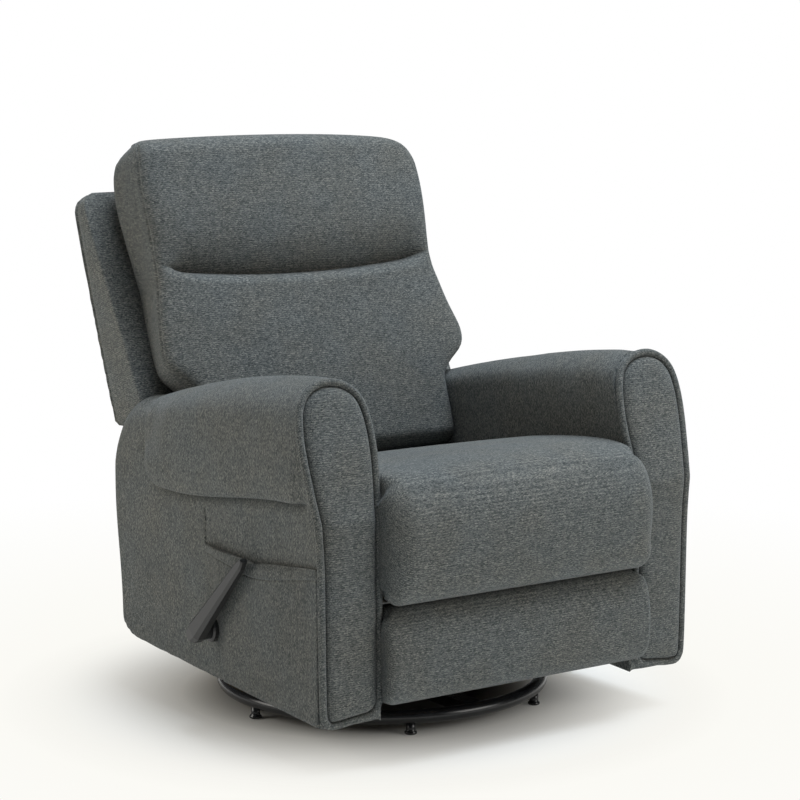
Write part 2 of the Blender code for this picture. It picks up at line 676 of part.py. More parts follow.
for name, side in SIDES:
    low, high = side_levels(side, PLATE_INNER, PLATE_OUTER)
    rear_reach = PLATE_INNER - (LAYER_A - LINK_THICKNESS) + CLEAR
    guide_reach = PLATE_INNER - (LAYER_C - LINK_THICKNESS) + CLEAR
    studs = [
        (REAR_LINK_PIVOT, -side, rear_reach, PIN_HEAD_RADIUS),
        (GUIDE_PIVOT, -side, guide_reach, PIN_HEAD_RADIUS),
    ]
    plate = prism(plate_outline, low, high, [bush_hole, hinge_hole], studs)
    add("side_plate_" + name, plate, ZINC_STEEL, ROCK_AXIS)

# Arms: plywood board, upholstered body, padded front panel and welt

ARM_COVER_Y = ARM_FRONT_Y + PANEL_THICKNESS + CLEAR
ARM_RAKE_START_Z = ARM_SEAM_FRONT_Z - 0.014


def arm_top(y):
    run = max(min(y, ARM_REAR_SHOULDER_Y) - ARM_CREST_Y, 0.0)
    crest = ARM_CREST_Z - ARM_CREST_SLOPE * run - ARM_CREST_CURVE * run * run
    if y <= ARM_REAR_SHOULDER_Y:
        return crest
    reach = (y - ARM_REAR_SHOULDER_Y) / (ARM_REAR_Y + 0.002 - ARM_REAR_SHOULDER_Y)
    return ARM_REAR_SHOULDER_Z + (crest - ARM_REAR_SHOULDER_Z) * sqrt(max(1 - reach * reach, 0.0))


def arm_low(y):
    run = y - (ARM_REAR_Y - ARM_BOTTOM_CORNER)
    if run <= 0:
        return ARM_BOTTOM
    return ARM_BOTTOM + ARM_BOTTOM_CORNER - sqrt(max(ARM_BOTTOM_CORNER ** 2 - run * run, 0.0))


def arm_seam(y):
    share = ease((y - ARM_CREST_Y) / ARM_SEAM_RUN)
    level = ARM_SEAM_FRONT_Z + (ARM_SEAM_REAR_Z - ARM_SEAM_FRONT_Z) * share
    return min(level, arm_top(y) - 0.030)


def arm_rake(z):
    rise = max(z - ARM_RAKE_START_Z, 0.0) / (ARM_CREST_Z - ARM_RAKE_START_Z)
    return ARM_RAKE * rise


def arm_outline(y, squeeze=0.0):
    """Outer face and crest of the arm's cross-section from the bottom up, as (x, z)."""
    low, top, seam = arm_low(y), arm_top(y), arm_seam(y)
    h = top - seam
    side = ARM_SIDE_X - squeeze
    bulge = ARM_BULGE_X - squeeze
    return [
        (side - 0.010, low),
        (side - 0.002, low + 0.008),
        (side - 0.0006, low + 0.018),
        (side, (low + seam) / 2),
        (side - 0.0006, seam - 0.014),
        (side - 0.003, seam),
        (bulge - 0.004, seam + 0.07 * h),
        (bulge, seam + 0.28 * h),
        (bulge - 0.001, seam + 0.50 * h),
        (bulge - 0.010, seam + 0.73 * h),
        (bulge - 0.029, seam + 0.91 * h),
        (ARM_CREST_X + 0.014, seam + 0.99 * h),
        (ARM_CREST_X - 0.015, seam + h),
        (ARM_CREST_X - 0.037, seam + 0.94 * h),
        (ARM_BOARD_INNER + 0.006, seam + 0.80 * h),
        (ARM_BOARD_INNER, seam + 0.60 * h),
    ]


def board_top(y):
    return min(ARM_BOARD_TOP, arm_top(y) - 0.035, arm_seam(y) + 0.52 * (arm_top(y) - arm_seam(y)))


ARM_STATIONS = (0.0, 0.06, 0.16, 0.28, 0.42, 0.56, 0.68, 0.76, 0.83, 0.88, 0.92)
arm_run = ARM_REAR_Y - ARM_COVER_Y
board_rear = ARM_BOARD_REAR + CLEAR
arm_levels = [ARM_COVER_Y + arm_run * share for share in ARM_STATIONS]
arm_levels = [y for y in arm_levels if y < board_rear - 0.004] + [board_rear]


def arm_ring(y, inner_x, inner_top, squeeze=0.0):
    ring = arm_outline(y, squeeze)
    low = arm_low(y)
    stepped = inner_x > ARM_BOARD_INNER
    ease_in = 0.0 if stepped else 0.0005
    ring.append((ARM_BOARD_INNER + ease_in, inner_top))
    ring.append((inner_x + 2 * ease_in, inner_top - 20 * ease_in))
    ring.append((inner_x + ease_in, low + 0.010))
    ring.append((inner_x + 0.006, low))
    share = 1 - (y - ARM_COVER_Y) / arm_run
    placed = []
    for x, z in ring:
        placed.append(Vector((x, y + arm_rake(z) * max(share, 0.0) ** 2, z)))
    return placed


arm_rings = [arm_ring(y, ARM_SKIN_INNER, board_top(y) + CLEAR) for y in arm_levels]
board_end = board_top(board_rear)
arm_rings.append(arm_ring(board_rear + 0.001, ARM_BOARD_INNER, board_end, 0.0005))
rear_half = (board_rear + ARM_REAR_Y) / 2
arm_rings.append(arm_ring(rear_half, ARM_BOARD_INNER, board_top(rear_half) - 0.02, 0.002))
arm_rings.append(arm_ring(ARM_REAR_Y - 0.006, ARM_BOARD_INNER, board_top(ARM_REAR_Y) - 0.03, 0.006))
arm_rings.append(arm_ring(ARM_REAR_Y, ARM_BOARD_INNER, board_top(ARM_REAR_Y) - 0.04, 0.014))

board_points = [(ARM_COVER_Y + 0.012, ARM_BOTTOM + 0.006)]
board_points += [(board_rear - CLEAR - 0.030, ARM_BOTTOM + 0.006)]
board_points += [(board_rear - CLEAR, arm_low(board_rear) + 0.020)]
for y in reversed(arm_levels):
    at = min(y, board_rear - CLEAR)
    rake = arm_rake(board_top(at)) * (1 - (at - ARM_COVER_Y) / arm_run) ** 2
    board_points.append((at + rake, board_top(y)))
board_points[-1] = (board_points[-1][0] + 0.012, board_points[-1][1])

WELT_GAP = 2 * WELT_RADIUS - 0.002


def inset(points, distance):
    """Move an open or closed line of points to its left by a distance."""
    moved = []
    for k, point in enumerate(points):
        a = points[max(k - 1, 0)]
        b = points[min(k + 1, len(points) - 1)]
        run = Vector((b[0] - a[0], b[1] - a[1])).normalized()
        moved.append((point[0] - run[1] * distance, point[1] + run[0] * distance))
    return moved


def front_point(x, z, forward):
    return Vector((x, ARM_COVER_Y - CLEAR - forward + arm_rake(z), z))


front_line = arm_outline(ARM_COVER_Y)
front_line = [(front_line[2][0], ARM_BOTTOM)] + front_line[2:]
front_line += [(ARM_BOARD_INNER, z) for z in (ARM_RAKE_START_Z, 0.25, ARM_BOTTOM)]
panel_line = inset(front_line, WELT_GAP)
panel_line[0] = (panel_line[0][0], ARM_BOTTOM)
panel_line[-1] = (panel_line[-1][0], ARM_BOTTOM)
panel_middle = inset(front_line, WELT_GAP + 0.016)
panel_middle[0] = (panel_middle[0][0], ARM_BOTTOM + 0.016)
panel_middle[-1] = (panel_middle[-1][0], ARM_BOTTOM + 0.016)
panel_rings = [
    [front_point(x, z, 0.0) for x, z in panel_line],
    [front_point(x, z, PANEL_THICKNESS - PANEL_CROWN) for x, z in panel_line],
    [front_point(x, z, PANEL_THICKNESS) for x, z in panel_middle],
]
welt_line = inset(front_line, WELT_GAP - WELT_RADIUS - CLEAR)
welt_line[0] = (welt_line[0][0], ARM_BOTTOM)
welt_line[-1] = (welt_line[-1][0], ARM_BOTTOM)
welt_path = [front_point(x, z, WELT_RADIUS) for x, z in welt_line]


def handed(points, side):
    return [Vector((side * p[0], p[1], p[2])) for p in points]


for name, side in SIDES:
    low, high = side_levels(side, ARM_BOARD_INNER, ARM_BOARD_INNER + ARM_BOARD_THICKNESS)
    shaft = [(LEVER_AXIS, DRIVE_TUBE_RADIUS + 0.003)] if side < 0 else []
    board = prism(board_points, low, high, shaft)
    add("arm_board_" + name, board, PLYWOOD, ROCK_AXIS)
    cover = loft([handed(ring, side) for ring in arm_rings], rows_filled=True)
    body = add("arm_" + name, cover, FABRIC, ROCK_AXIS)
    if side < 0:
        bore = rod(DRIVE_TUBE_RADIUS + 0.003, -ARM_BULGE_X - 0.05, -ARM_BOARD_INNER, 16, LEVER_AXIS)
        combine(body, add("bore", bore, PLASTIC), "DIFFERENCE")
    panel = loft([handed(ring, side) for ring in panel_rings], rows_filled=True)
    add("arm_front_panel_" + name, panel, FABRIC, ROCK_AXIS)
    welt = sweep(handed(welt_path, side), WELT_RADIUS, 6, up=Vector((0.0, 1.0, 0.0)))
    add("arm_welt_" + name, welt, WELT, ROCK_AXIS)

# Pocket on the right arm: a cloth panel sewn on three sides and open at the top

ESCUTCHEON_RADIUS = 0.022
POCKET_COLUMNS = 12
POCKET_ROWS = 7
POCKET_RAMP = 0.14


def pocket_gap(column, row):
    """Distance between pocket cloth and arm: none along the seams, full at the mouth."""
    across = min(column, 1 - column) / POCKET_RAMP
    return POCKET_GAP * ease(across) * ease(row / 0.35)


def pocket_point(column, row, lift):
    y = POCKET_REAR_Y + (POCKET_FRONT_Y - POCKET_REAR_Y) * column
    z = POCKET_BOTTOM + (POCKET_TOP - POCKET_BOTTOM) * row
    return Vector((-(ARM_SIDE_X + CLEAR + pocket_gap(column, row) + lift), y, z))


pocket_steps = [k / POCKET_COLUMNS for k in range(POCKET_COLUMNS + 1)]
pocket_steps = [0.6 * step + 0.4 * ease(step) for step in pocket_steps]
pocket_rings = []
for k in range(POCKET_ROWS + 1):
    row = k / POCKET_ROWS
    outer = [pocket_point(column, row, POCKET_CLOTH) for column in pocket_steps]
    inner = [pocket_point(column, row, 0.0) for column in reversed(pocket_steps)]
    pocket_rings.append(outer + inner)
pocket = add("side_pocket", loft(pocket_rings), FABRIC, ROCK_AXIS)
bore = rod(ESCUTCHEON_RADIUS + 0.002, -ARM_BULGE_X - 0.05, -ARM_SIDE_X, 20, LEVER_AXIS)
combine(pocket, add("bore", bore, PLASTIC), "DIFFERENCE")

escutcheon = [
    (DRIVE_TUBE_RADIUS + 0.0010, -ARM_SIDE_X - CLEAR),
    (ESCUTCHEON_RADIUS, -ARM_SIDE_X - CLEAR),
    (ESCUTCHEON_RADIUS, -ARM_SIDE_X - POCKET_GAP - POCKET_CLOTH),
    (ESCUTCHEON_RADIUS - 0.003, -ARM_SIDE_X - POCKET_GAP - POCKET_CLOTH - 0.003),
    (DRIVE_TUBE_RADIUS + 0.0010, -ARM_SIDE_X - POCKET_GAP - POCKET_CLOTH - 0.003),
]
place = (0.0, LEVER_AXIS[0], LEVER_AXIS[1])
add("lever_escutcheon", lathe(escutcheon, 20, place, "X", closed=True), PLASTIC, ROCK_AXIS)

# Seat: rails, sinuous springs and cushion

for name, side in SIDES:
    low, high = side_levels(side, SEAT_RAIL_INNER, PLATE_INNER - CLEAR)
    first = (low, SEAT_FRONT_RAIL_Y + SEAT_RAIL_DEPTH + CLEAR, SEAT_RAIL_BOTTOM)
    second = (high, SEAT_REAR_RAIL_Y - CLEAR, SEAT_RAIL_TOP)
    add("seat_side_rail_" + name, box(first, second, 0.002), PLYWOOD, ROCK_AXIS)
for name, y in (("front", SEAT_FRONT_RAIL_Y), ("rear", SEAT_REAR_RAIL_Y)):
    half = PLATE_INNER - CLEAR
    first = (-half, y, SEAT_RAIL_BOTTOM)
    second = (half, y + SEAT_RAIL_DEPTH, SEAT_RAIL_TOP)
    add("seat_rail_" + name, box(first, second, 0.002), PLYWOOD, ROCK_AXIS)

deck_first = SEAT_FRONT_RAIL_Y + SEAT_RAIL_DEPTH / 2
deck_last = SEAT_REAR_RAIL_Y + SEAT_RAIL_DEPTH / 2
deck_pitch = (deck_last - deck_first) / (DECK_ROWS - 1)
deck_wire = []
for row in range(DECK_ROWS):
    way = 1 if row % 2 else -1
    y = deck_first + deck_pitch * row
    straight = DECK_HALF - deck_pitch / 2
    deck_wire.append((-way * straight, y, SEAT_SPRING_Z))
    deck_wire.append((way * straight, y, SEAT_SPRING_Z))
    if row < DECK_ROWS - 1:
        for turn in (-45, 0, 45):
            x = way * (straight + deck_pitch / 2 * cos(radians(turn)))
            bend = y + deck_pitch / 2 * (1 + sin(radians(turn)))
            deck_wire.append((x, bend, SEAT_SPRING_Z))
print("seat deck least gap to itself: %.2f mm" % ((deck_pitch - SEAT_SPRING_WIRE) * 1000))
add("seat_spring_wire", sweep(deck_wire, SEAT_SPRING_WIRE / 2, 4), SPRING_STEEL, ROCK_AXIS)

nose = SEAT_NOSE_Y
seat_profile = [
    (SEAT_REAR_Y, SEAT_BOTTOM + 0.008),
    (SEAT_REAR_Y - 0.010, SEAT_BOTTOM),
    (-0.15, SEAT_BOTTOM),
    (SEAT_FRONT_RAIL_Y + 0.004, SEAT_BOTTOM),
    (SEAT_FRONT_RAIL_Y - 0.004, SEAT_BOTTOM - 0.006),
    (SEAT_FRONT_RAIL_Y - 0.007, SEAT_NOSE_BOTTOM + 0.040),
    (SEAT_FRONT_RAIL_Y - 0.014, SEAT_NOSE_BOTTOM + 0.008),
    (SEAT_FRONT_RAIL_Y - 0.034, SEAT_NOSE_BOTTOM),
    (nose + 0.028, SEAT_NOSE_BOTTOM + 0.005),
    (nose + 0.011, SEAT_NOSE_BOTTOM + 0.028),
    (nose + 0.002, SEAT_NOSE_BOTTOM + 0.070),
    (nose, SEAT_NOSE_BOTTOM + 0.115),
    (nose + 0.007, SEAT_NOSE_BOTTOM + 0.150),
    (nose + 0.027, SEAT_NOSE_BOTTOM + 0.180),
    (nose + 0.060, SEAT_NOSE_BOTTOM + 0.199),
    (nose + 0.110, SEAT_NOSE_BOTTOM + 0.206),
    (nose + 0.200, SEAT_NOSE_BOTTOM + 0.202),
    (-0.120, SEAT_NOSE_BOTTOM + 0.187),
    (0.000, SEAT_NOSE_BOTTOM + 0.165),
    (0.090, SEAT_NOSE_BOTTOM + 0.148),
    (SEAT_REAR_Y - 0.018, SEAT_NOSE_BOTTOM + 0.135),
    (SEAT_REAR_Y, SEAT_NOSE_BOTTOM + 0.118),
]
EDGE_STATIONS = (-1.0, -0.985, -0.94, -0.84, -0.60, -0.25, 0.25, 0.60, 0.84, 0.94, 0.985, 1.0)


def padded(profile, half, flare, flare_y, round_off, crown, crown_from):
    """Loft a side profile across the chair, crowned in the middle and drawn in at both edges."""
    rings = []
    for share in EDGE_STATIONS:
        edge = max(abs(share) - 0.84, 0.0) / 0.16
        drop = round_off * (1 - sqrt(max(1 - edge * edge, 0.0)))
        ring = []
        moved = inset(profile + profile[:1], -drop)[:-1]
        for (y, z), (flat_y, flat_z) in zip(moved, profile):
            spread = flare * ease((flare_y - flat_y) / FLARE_RUN) if abs(share) < 1 else 0.0
            x = share * (half + spread)
            lift = crown * (1 - share * share) if flat_z > crown_from else 0.0
            ring.append(Vector((x, y, z + lift)))
        rings.append(ring)
    return loft(rings)


flare_from = ARM_FRONT_Y - NOSE_ARM_GAP
crown_from = SEAT_NOSE_BOTTOM + SEAT_CROWN_FROM
cushion = padded(
    seat_profile, SEAT_HALF_WIDTH, SEAT_NOSE_FLARE, flare_from, SEAT_EDGE_ROUND, SEAT_CROWN, crown_from
)
add("seat_cushion", cushion, FABRIC, ROCK_AXIS)

# Rear of the chair under the back

rail_bottom = REAR_PANEL_BOTTOM + REAR_RAIL_LIFT
low = (-(ARM_BOARD_INNER - CLEAR), REAR_PANEL_Y - CLEAR - REAR_RAIL_DEPTH, rail_bottom)
high = (ARM_BOARD_INNER - CLEAR, REAR_PANEL_Y - CLEAR, rail_bottom + REAR_RAIL_HEIGHT)
add("rear_rail", box(low, high, 0.002), PLYWOOD, ROCK_AXIS)
low = (-(ARM_BOARD_INNER - CLEAR), REAR_PANEL_Y, REAR_PANEL_BOTTOM)
high = (ARM_BOARD_INNER - CLEAR, REAR_PANEL_Y + REAR_PANEL_DEPTH, REAR_PANEL_TOP)
add("rear_panel", box(low, high, 0.008), FABRIC, ROCK_AXIS)

# Lever, drive tube, cranks and drive rods

LEVER_ORIGIN = (0.0, *LEVER_AXIS)
lever_inner = -(ARM_SIDE_X + LEVER_STANDOFF)
way = (-cos(radians(LEVER_ANGLE)), sin(radians(LEVER_ANGLE)))
across = (-way[1], way[0])
lever_section = [(-0.5, 0.15), (-0.5, 0.75), (-0.3, 1.0), (0.3, 1.0)]
lever_section += [(0.5, 0.75), (0.5, 0.15), (0.35, 0.0), (-0.35, 0.0)]
lever_rings = []
for share in (-0.085, -0.070, 0.0, 0.30, 0.65, 0.93, 0.985, 1.0):
    end = max((share - 0.93) / 0.07, (-share - 0.045) / 0.04, 0.0)
    pinch = sqrt(max(1 - (min(end, 0.92)) ** 2, 0.0))
    width = (LEVER_WIDTH_HUB + (LEVER_WIDTH_TIP - LEVER_WIDTH_HUB) * max(share, 0.0) ** 0.8) * pinch
    depth = LEVER_DEPTH_HUB + (LEVER_DEPTH_TIP - LEVER_DEPTH_HUB) * max(share, 0.0)
    ring = []
    for a, b in lever_section:
        y = LEVER_AXIS[0] + way[0] * LEVER_LENGTH * share + across[0] * a * width
        z = LEVER_AXIS[1] + way[1] * LEVER_LENGTH * share + across[1] * a * width
        ring.append(Vector((lever_inner - b * depth, y, z)))
    lever_rings.append(ring)
handle = add("lever_handle", loft(lever_rings), PLASTIC, LEVER_ORIGIN)
hub_start = -ARM_SIDE_X - POCKET_GAP - POCKET_CLOTH - 0.004
hub = rod(0.0165, lever_inner - 0.006, hub_start, 16, LEVER_AXIS)
combine(handle, add("hub", hub, PLASTIC), "UNION")
tube_left = PLATE_OUTER + 0.0002
tube_right = lever_inner - 0.004
drive_bar = rod(DRIVE_TUBE_RADIUS, tube_right, tube_left, 14, LEVER_AXIS)
drive_tube = add("drive_tube", drive_bar, ZINC_STEEL, LEVER_ORIGIN)
socket = rod(DRIVE_TUBE_RADIUS + CLEAR, tube_right - CLEAR, hub_start + 0.001, 14, LEVER_AXIS)
combine(handle, add("socket", socket, PLASTIC), "DIFFERENCE")

for name, side in SIDES:
    low, high = side_levels(side, LAYER_A - LINK_THICKNESS, LAYER_A)
    crank_shape = bar_outline(LEVER_AXIS, crank_pin, 0.028, LINK_WIDTH)
    crank = prism(crank_shape, low, high, [(crank_pin, PIN_HOLE)])
    combine(drive_tube, add("crank", crank, ZINC_STEEL, LEVER_ORIGIN), "UNION")
    low, high = side_levels(side, LAYER_B - LINK_THICKNESS, LAYER_B)
    reach = LAYER_A - LAYER_B + CLEAR
    studs = [(crank_pin, side, reach, PIN_HEAD_RADIUS), (rod_end, side, reach, PIN_HEAD_RADIUS)]
    shape = bar_outline(crank_pin, rod_end, LINK_WIDTH)
    rod_origin = (0.0, *crank_pin)
    add("drive_rod_" + name, prism(shape, low, high, (), studs), ZINC_STEEL, rod_origin)

# Footrest linkage: rear link, guide link, carrier and control link

for name, side in SIDES:
    reach = LAYER_A - LAYER_B + CLEAR
    low, high = side_levels(side, LAYER_A - LINK_THICKNESS, LAYER_A)
    shape = bar_outline(REAR_LINK_PIVOT, knee, LINK_WIDTH + 0.002)
    holes = [(spot, PIN_HOLE) for spot in (REAR_LINK_PIVOT, rod_end, control_start, knee)]
    rear_link = prism(shape, low, high, holes)
    add("rear_link_" + name, rear_link, ZINC_STEEL, (0.0, *REAR_LINK_PIVOT))

    low, high = side_levels(side, LAYER_B - LINK_THICKNESS, LAYER_B)
    studs = [(control_start, side, reach, PIN_HEAD_RADIUS), (control_end, side, reach, PIN_HEAD_RADIUS)]
    shape = bar_outline(control_start, control_end, LINK_WIDTH - 0.001)
    control = prism(shape, low, high, (), studs)
    add("control_link_" + name, control, ZINC_STEEL, (0.0, *control_start))

    studs = [(knee, side, reach, PIN_HEAD_RADIUS), (FOOTREST_PIVOT, side, reach, PIN_HEAD_RADIUS)]
    studs += [(guide_pin, -side, LINK_PITCH + CLEAR, PIN_RADIUS + GUIDE_SLACK + 0.0022)]
    shape = bar_outline(knee, FOOTREST_PIVOT, LINK_WIDTH + 0.001)
    carrier = prism(shape, low, high, (), studs)
    add("carrier_link_" + name, carrier, ZINC_STEEL, (0.0, *knee))

    low, high = side_levels(side, LAYER_C - LINK_THICKNESS, LAYER_C)
    shape = bar_outline(GUIDE_PIVOT, guide_pin, LINK_WIDTH, 2 * (PIN_RADIUS + GUIDE_SLACK) + 0.007)
    holes = [(GUIDE_PIVOT, PIN_HOLE), (guide_pin, PIN_RADIUS + GUIDE_SLACK)]
    add("guide_link_" + name, prism(shape, low, high, holes), ZINC_STEEL, (0.0, *GUIDE_PIVOT))

# Footrest: brackets, board and pad

FOOTREST_ORIGIN = (0.0, *FOOTREST_PIVOT)
board_back = FOOTREST_BOARD_Y + FOOTREST_BOARD_THICKNESS
flange_y = board_back + CLEAR
bracket_outline = [
    (flange_y, FOOTREST_BOTTOM + 0.020),
    (flange_y + 0.008, FOOTREST_BOTTOM + 0.020),
]
bracket_outline += arc(FOOTREST_PIVOT, LINK_WIDTH / 2, -60, 40, 4)
bracket_outline += arc(control_end, LINK_WIDTH / 2, 0, 180, 6)
bracket_outline += [(control_end[0] - LINK_WIDTH / 2, FOOTREST_PIVOT[1] + 0.010)]
bracket_outline += [(flange_y, FOOTREST_PIVOT[1] - 0.020)]
for name, side in SIDES:
    low, high = side_levels(side, LAYER_A - LINK_THICKNESS, LAYER_A)
    holes = [(FOOTREST_PIVOT, PIN_HOLE), (control_end, PIN_HOLE)]
    plate = prism(bracket_outline, low, high, holes)
    bracket = add("footrest_bracket_" + name, plate, ZINC_STEEL, FOOTREST_ORIGIN)
    first, second = side_levels(side, LAYER_A - 0.042, LAYER_A - LINK_THICKNESS / 2)
    foot = box(
        (first, flange_y, FOOTREST_BOTTOM + 0.022),
        (second, flange_y + LINK_THICKNESS, FOOTREST_BOTTOM + 0.070),
    )
    combine(bracket, add("foot", foot, ZINC_STEEL), "UNION")
low = (-FOOTREST_BOARD_HALF, FOOTREST_BOARD_Y, FOOTREST_BOTTOM + 0.010)
high = (FOOTREST_BOARD_HALF, board_back, FOOTREST_TOP - 0.012)
add("footrest_board", box(low, high, 0.0015), PLYWOOD, FOOTREST_ORIGIN)

fb, ft, ff = FOOTREST_BOTTOM, FOOTREST_TOP, FOOTREST_FRONT_Y
pad_back = FOOTREST_BOARD_Y - CLEAR
pad_profile = [
    (pad_back, ft - 0.014),
    (pad_back, (fb + ft) / 2),
    (pad_back, fb + 0.012),
    (pad_back - 0.010, fb + 0.001),
    (pad_back - 0.035, fb),
    (ff + 0.022, fb + 0.006),
    (ff + 0.006, fb + 0.024),
    (ff, fb + 0.060),
    (ff + 0.001, fb + 0.100),
    (ff + 0.010, ft - 0.028),
    (ff + 0.026, ft - 0.008),
    (ff + 0.046, ft - 0.001),
    (pad_back - 0.012, ft - 0.002),
]
pad_half = ARM_BOARD_INNER - FOOTREST_PAD_GAP
pad = padded(pad_profile, pad_half, FOOTREST_FLARE, flare_from, FOOTREST_EDGE_ROUND, 0.0, FOOTREST_TOP)
add("footrest_pad", pad, FABRIC, FOOTREST_ORIGIN)

# Back: uprights with hinge brackets, panel, shell and cushion

HINGE_ORIGIN = (0.0, *BACK_HINGE)
LEAN = -BACK_LEAN
frame_front = BACK_SHELL_FRONT + CLEAR
frame_rear = frame_front + BACK_FRAME_SIZE
upright_outer = BACK_FRAME_X + BACK_FRAME_SIZE / 2
bracket_x = upright_outer + CLEAR
for name, side in SIDES:
    low, high = side_levels(side, BACK_FRAME_X - BACK_FRAME_SIZE / 2, upright_outer)
    upright = box((low, frame_front, BACK_SHELL_BOTTOM + 0.008), (high, frame_rear, BACK_FRAME_TOP), 0.002)
    add("back_upright_" + name, upright, PLYWOOD, HINGE_ORIGIN, LEAN)
    low, high = side_levels(side, bracket_x, bracket_x + LINK_THICKNESS)
    plate_shape = arc((0.0, 0.0), 0.013, 110, 250, 6)
    plate_shape += [(frame_front, -0.020), (frame_rear - 0.003, -0.018), (frame_rear - 0.003, 0.120)]
    plate_shape += [(frame_front + 0.004, 0.120), (frame_front + 0.002, 0.040)]
    hinge = add("back_bracket_" + name, prism(plate_shape, low, high), ZINC_STEEL, HINGE_ORIGIN, LEAN)
    first, second = side_levels(side, bracket_x + LINK_THICKNESS / 2, PLATE_OUTER)
    pin = rod(HINGE_PIN_RADIUS, first, second, 12, (0.0, 0.0))
    combine(hinge, add("pin", pin, ZINC_STEEL, HINGE_ORIGIN, LEAN), "UNION")
rail_half = BACK_FRAME_X - BACK_FRAME_SIZE / 2 - CLEAR
panel_front = frame_front + 0.004
panel_low = (-rail_half, panel_front, BACK_SHELL_BOTTOM + 0.008)
panel_high = (rail_half, panel_front + BACK_PANEL_THICKNESS, BACK_FRAME_TOP)
add("back_panel", box(panel_low, panel_high, 0.002), PLYWOOD, HINGE_ORIGIN, LEAN)


def wing_front(v):
    """Front face of the shell's side wings: deep at the arms, thin at the top."""
    share = (v - BACK_NARROW_TOP) / (BACK_SHELL_TOP - BACK_NARROW_TOP)
    return BACK_SHELL_FRONT - BACK_WING_REACH + (BACK_WING_REACH + BACK_WING_TOP) * share


def shell_ring(v, half, squeeze=0.0, wing=True):
    rear = BACK_SHELL_REAR - squeeze
    front = BACK_SHELL_FRONT + squeeze
    outer = half - squeeze
    low = half - BACK_WING_WIDTH if wing else half - 0.0025
    lip = 0.006 if wing else 0.001
    edge = min(wing_front(v) + squeeze, rear - 0.016) if wing else front
    face = max(front, edge + 0.002)
    side = [
        (low, face),
        (low + lip, edge + 0.001),
        (outer - (0.010 if wing else 0.0005), edge),
        (outer, edge + 0.012),
        (outer, rear - 0.014),
        (outer - 0.012, rear),
        (outer * 0.5, rear + 0.004),
    ]
    ring = [(0.0, face)] + side + [(-x, y) for x, y in reversed(side)]
    return [Vector((x, y, v)) for x, y in ring]


wide, narrow = BACK_SHELL_HALF, BACK_NARROW_HALF
bottom, top = BACK_SHELL_BOTTOM, BACK_SHELL_TOP
shell_rings = [
    shell_ring(bottom, narrow, 0.010, False),
    shell_ring(bottom + 0.008, narrow, 0.0, False),
    shell_ring(BACK_NARROW_TOP - 0.002, narrow, 0.0, False),
    shell_ring(BACK_NARROW_TOP, wide, 0.006),
    shell_ring(BACK_NARROW_TOP + 0.012, wide),
    shell_ring((BACK_NARROW_TOP + top) / 2, wide),
    shell_ring(top - 0.090, wide),
    shell_ring(top - 0.035, wide - 0.002),
    shell_ring(top - 0.018, wide - 0.007, 0.001),
    shell_ring(top - 0.006, wide - 0.016, 0.004),
    shell_ring(top, wide - 0.028, 0.009),
]
shell = add("back_shell", loft(shell_rings), FABRIC, HINGE_ORIGIN, LEAN)
hollow = box(
    (-bracket_x - LINK_THICKNESS - 0.0006, -0.20, bottom + 0.006),
    (bracket_x + LINK_THICKNESS + 0.0006, frame_rear + CLEAR, BACK_FRAME_TOP + CLEAR),
)
combine(shell, add("hollow", hollow, FABRIC, HINGE_ORIGIN, LEAN), "DIFFERENCE")

channel_low = BACK_CHANNEL_V - BACK_CHANNEL_REACH
channel_high = BACK_CHANNEL_V + BACK_CHANNEL_REACH
low_run = channel_low - BACK_CUSHION_BOTTOM
high_run = BACK_CUSHION_TOP - channel_high
LUMBAR_SHARES = (0.0, 0.03, 0.12, 0.30, 0.52, 0.66, 0.82)
CHANNEL_SHARES = (-1.0, -0.4, -0.1, 0.1, 0.4, 1.0)
HEADREST_SHARES = (0.28, 0.55, 0.76, 0.88, 0.96, 1.0)
cushion_levels = [BACK_CUSHION_BOTTOM + low_run * share for share in LUMBAR_SHARES]
cushion_levels += [BACK_CHANNEL_V + BACK_CHANNEL_REACH * share for share in CHANNEL_SHARES]
cushion_levels += [channel_high + high_run * share for share in HEADREST_SHARES]


def back_front(v):
    """Depth of the cushion's front along its height, with the sewn channel under the headrest."""
    rise = ease((v - BACK_CUSHION_BOTTOM) / 0.050)
    fall = ease((BACK_CUSHION_TOP - v) / 0.095)
    dip = BACK_CHANNEL_DEPTH * max(1 - abs(v - BACK_CHANNEL_V) / BACK_CHANNEL_REACH, 0.0) ** 1.4
    lumbar = BACK_LUMBAR * sin(pi * min(max((v - BACK_CUSHION_BOTTOM) / low_run, 0.0), 1.0))
    base = BACK_CUSHION_FRONT - lumbar + dip
    return base * rise ** 0.45 * fall ** 0.5


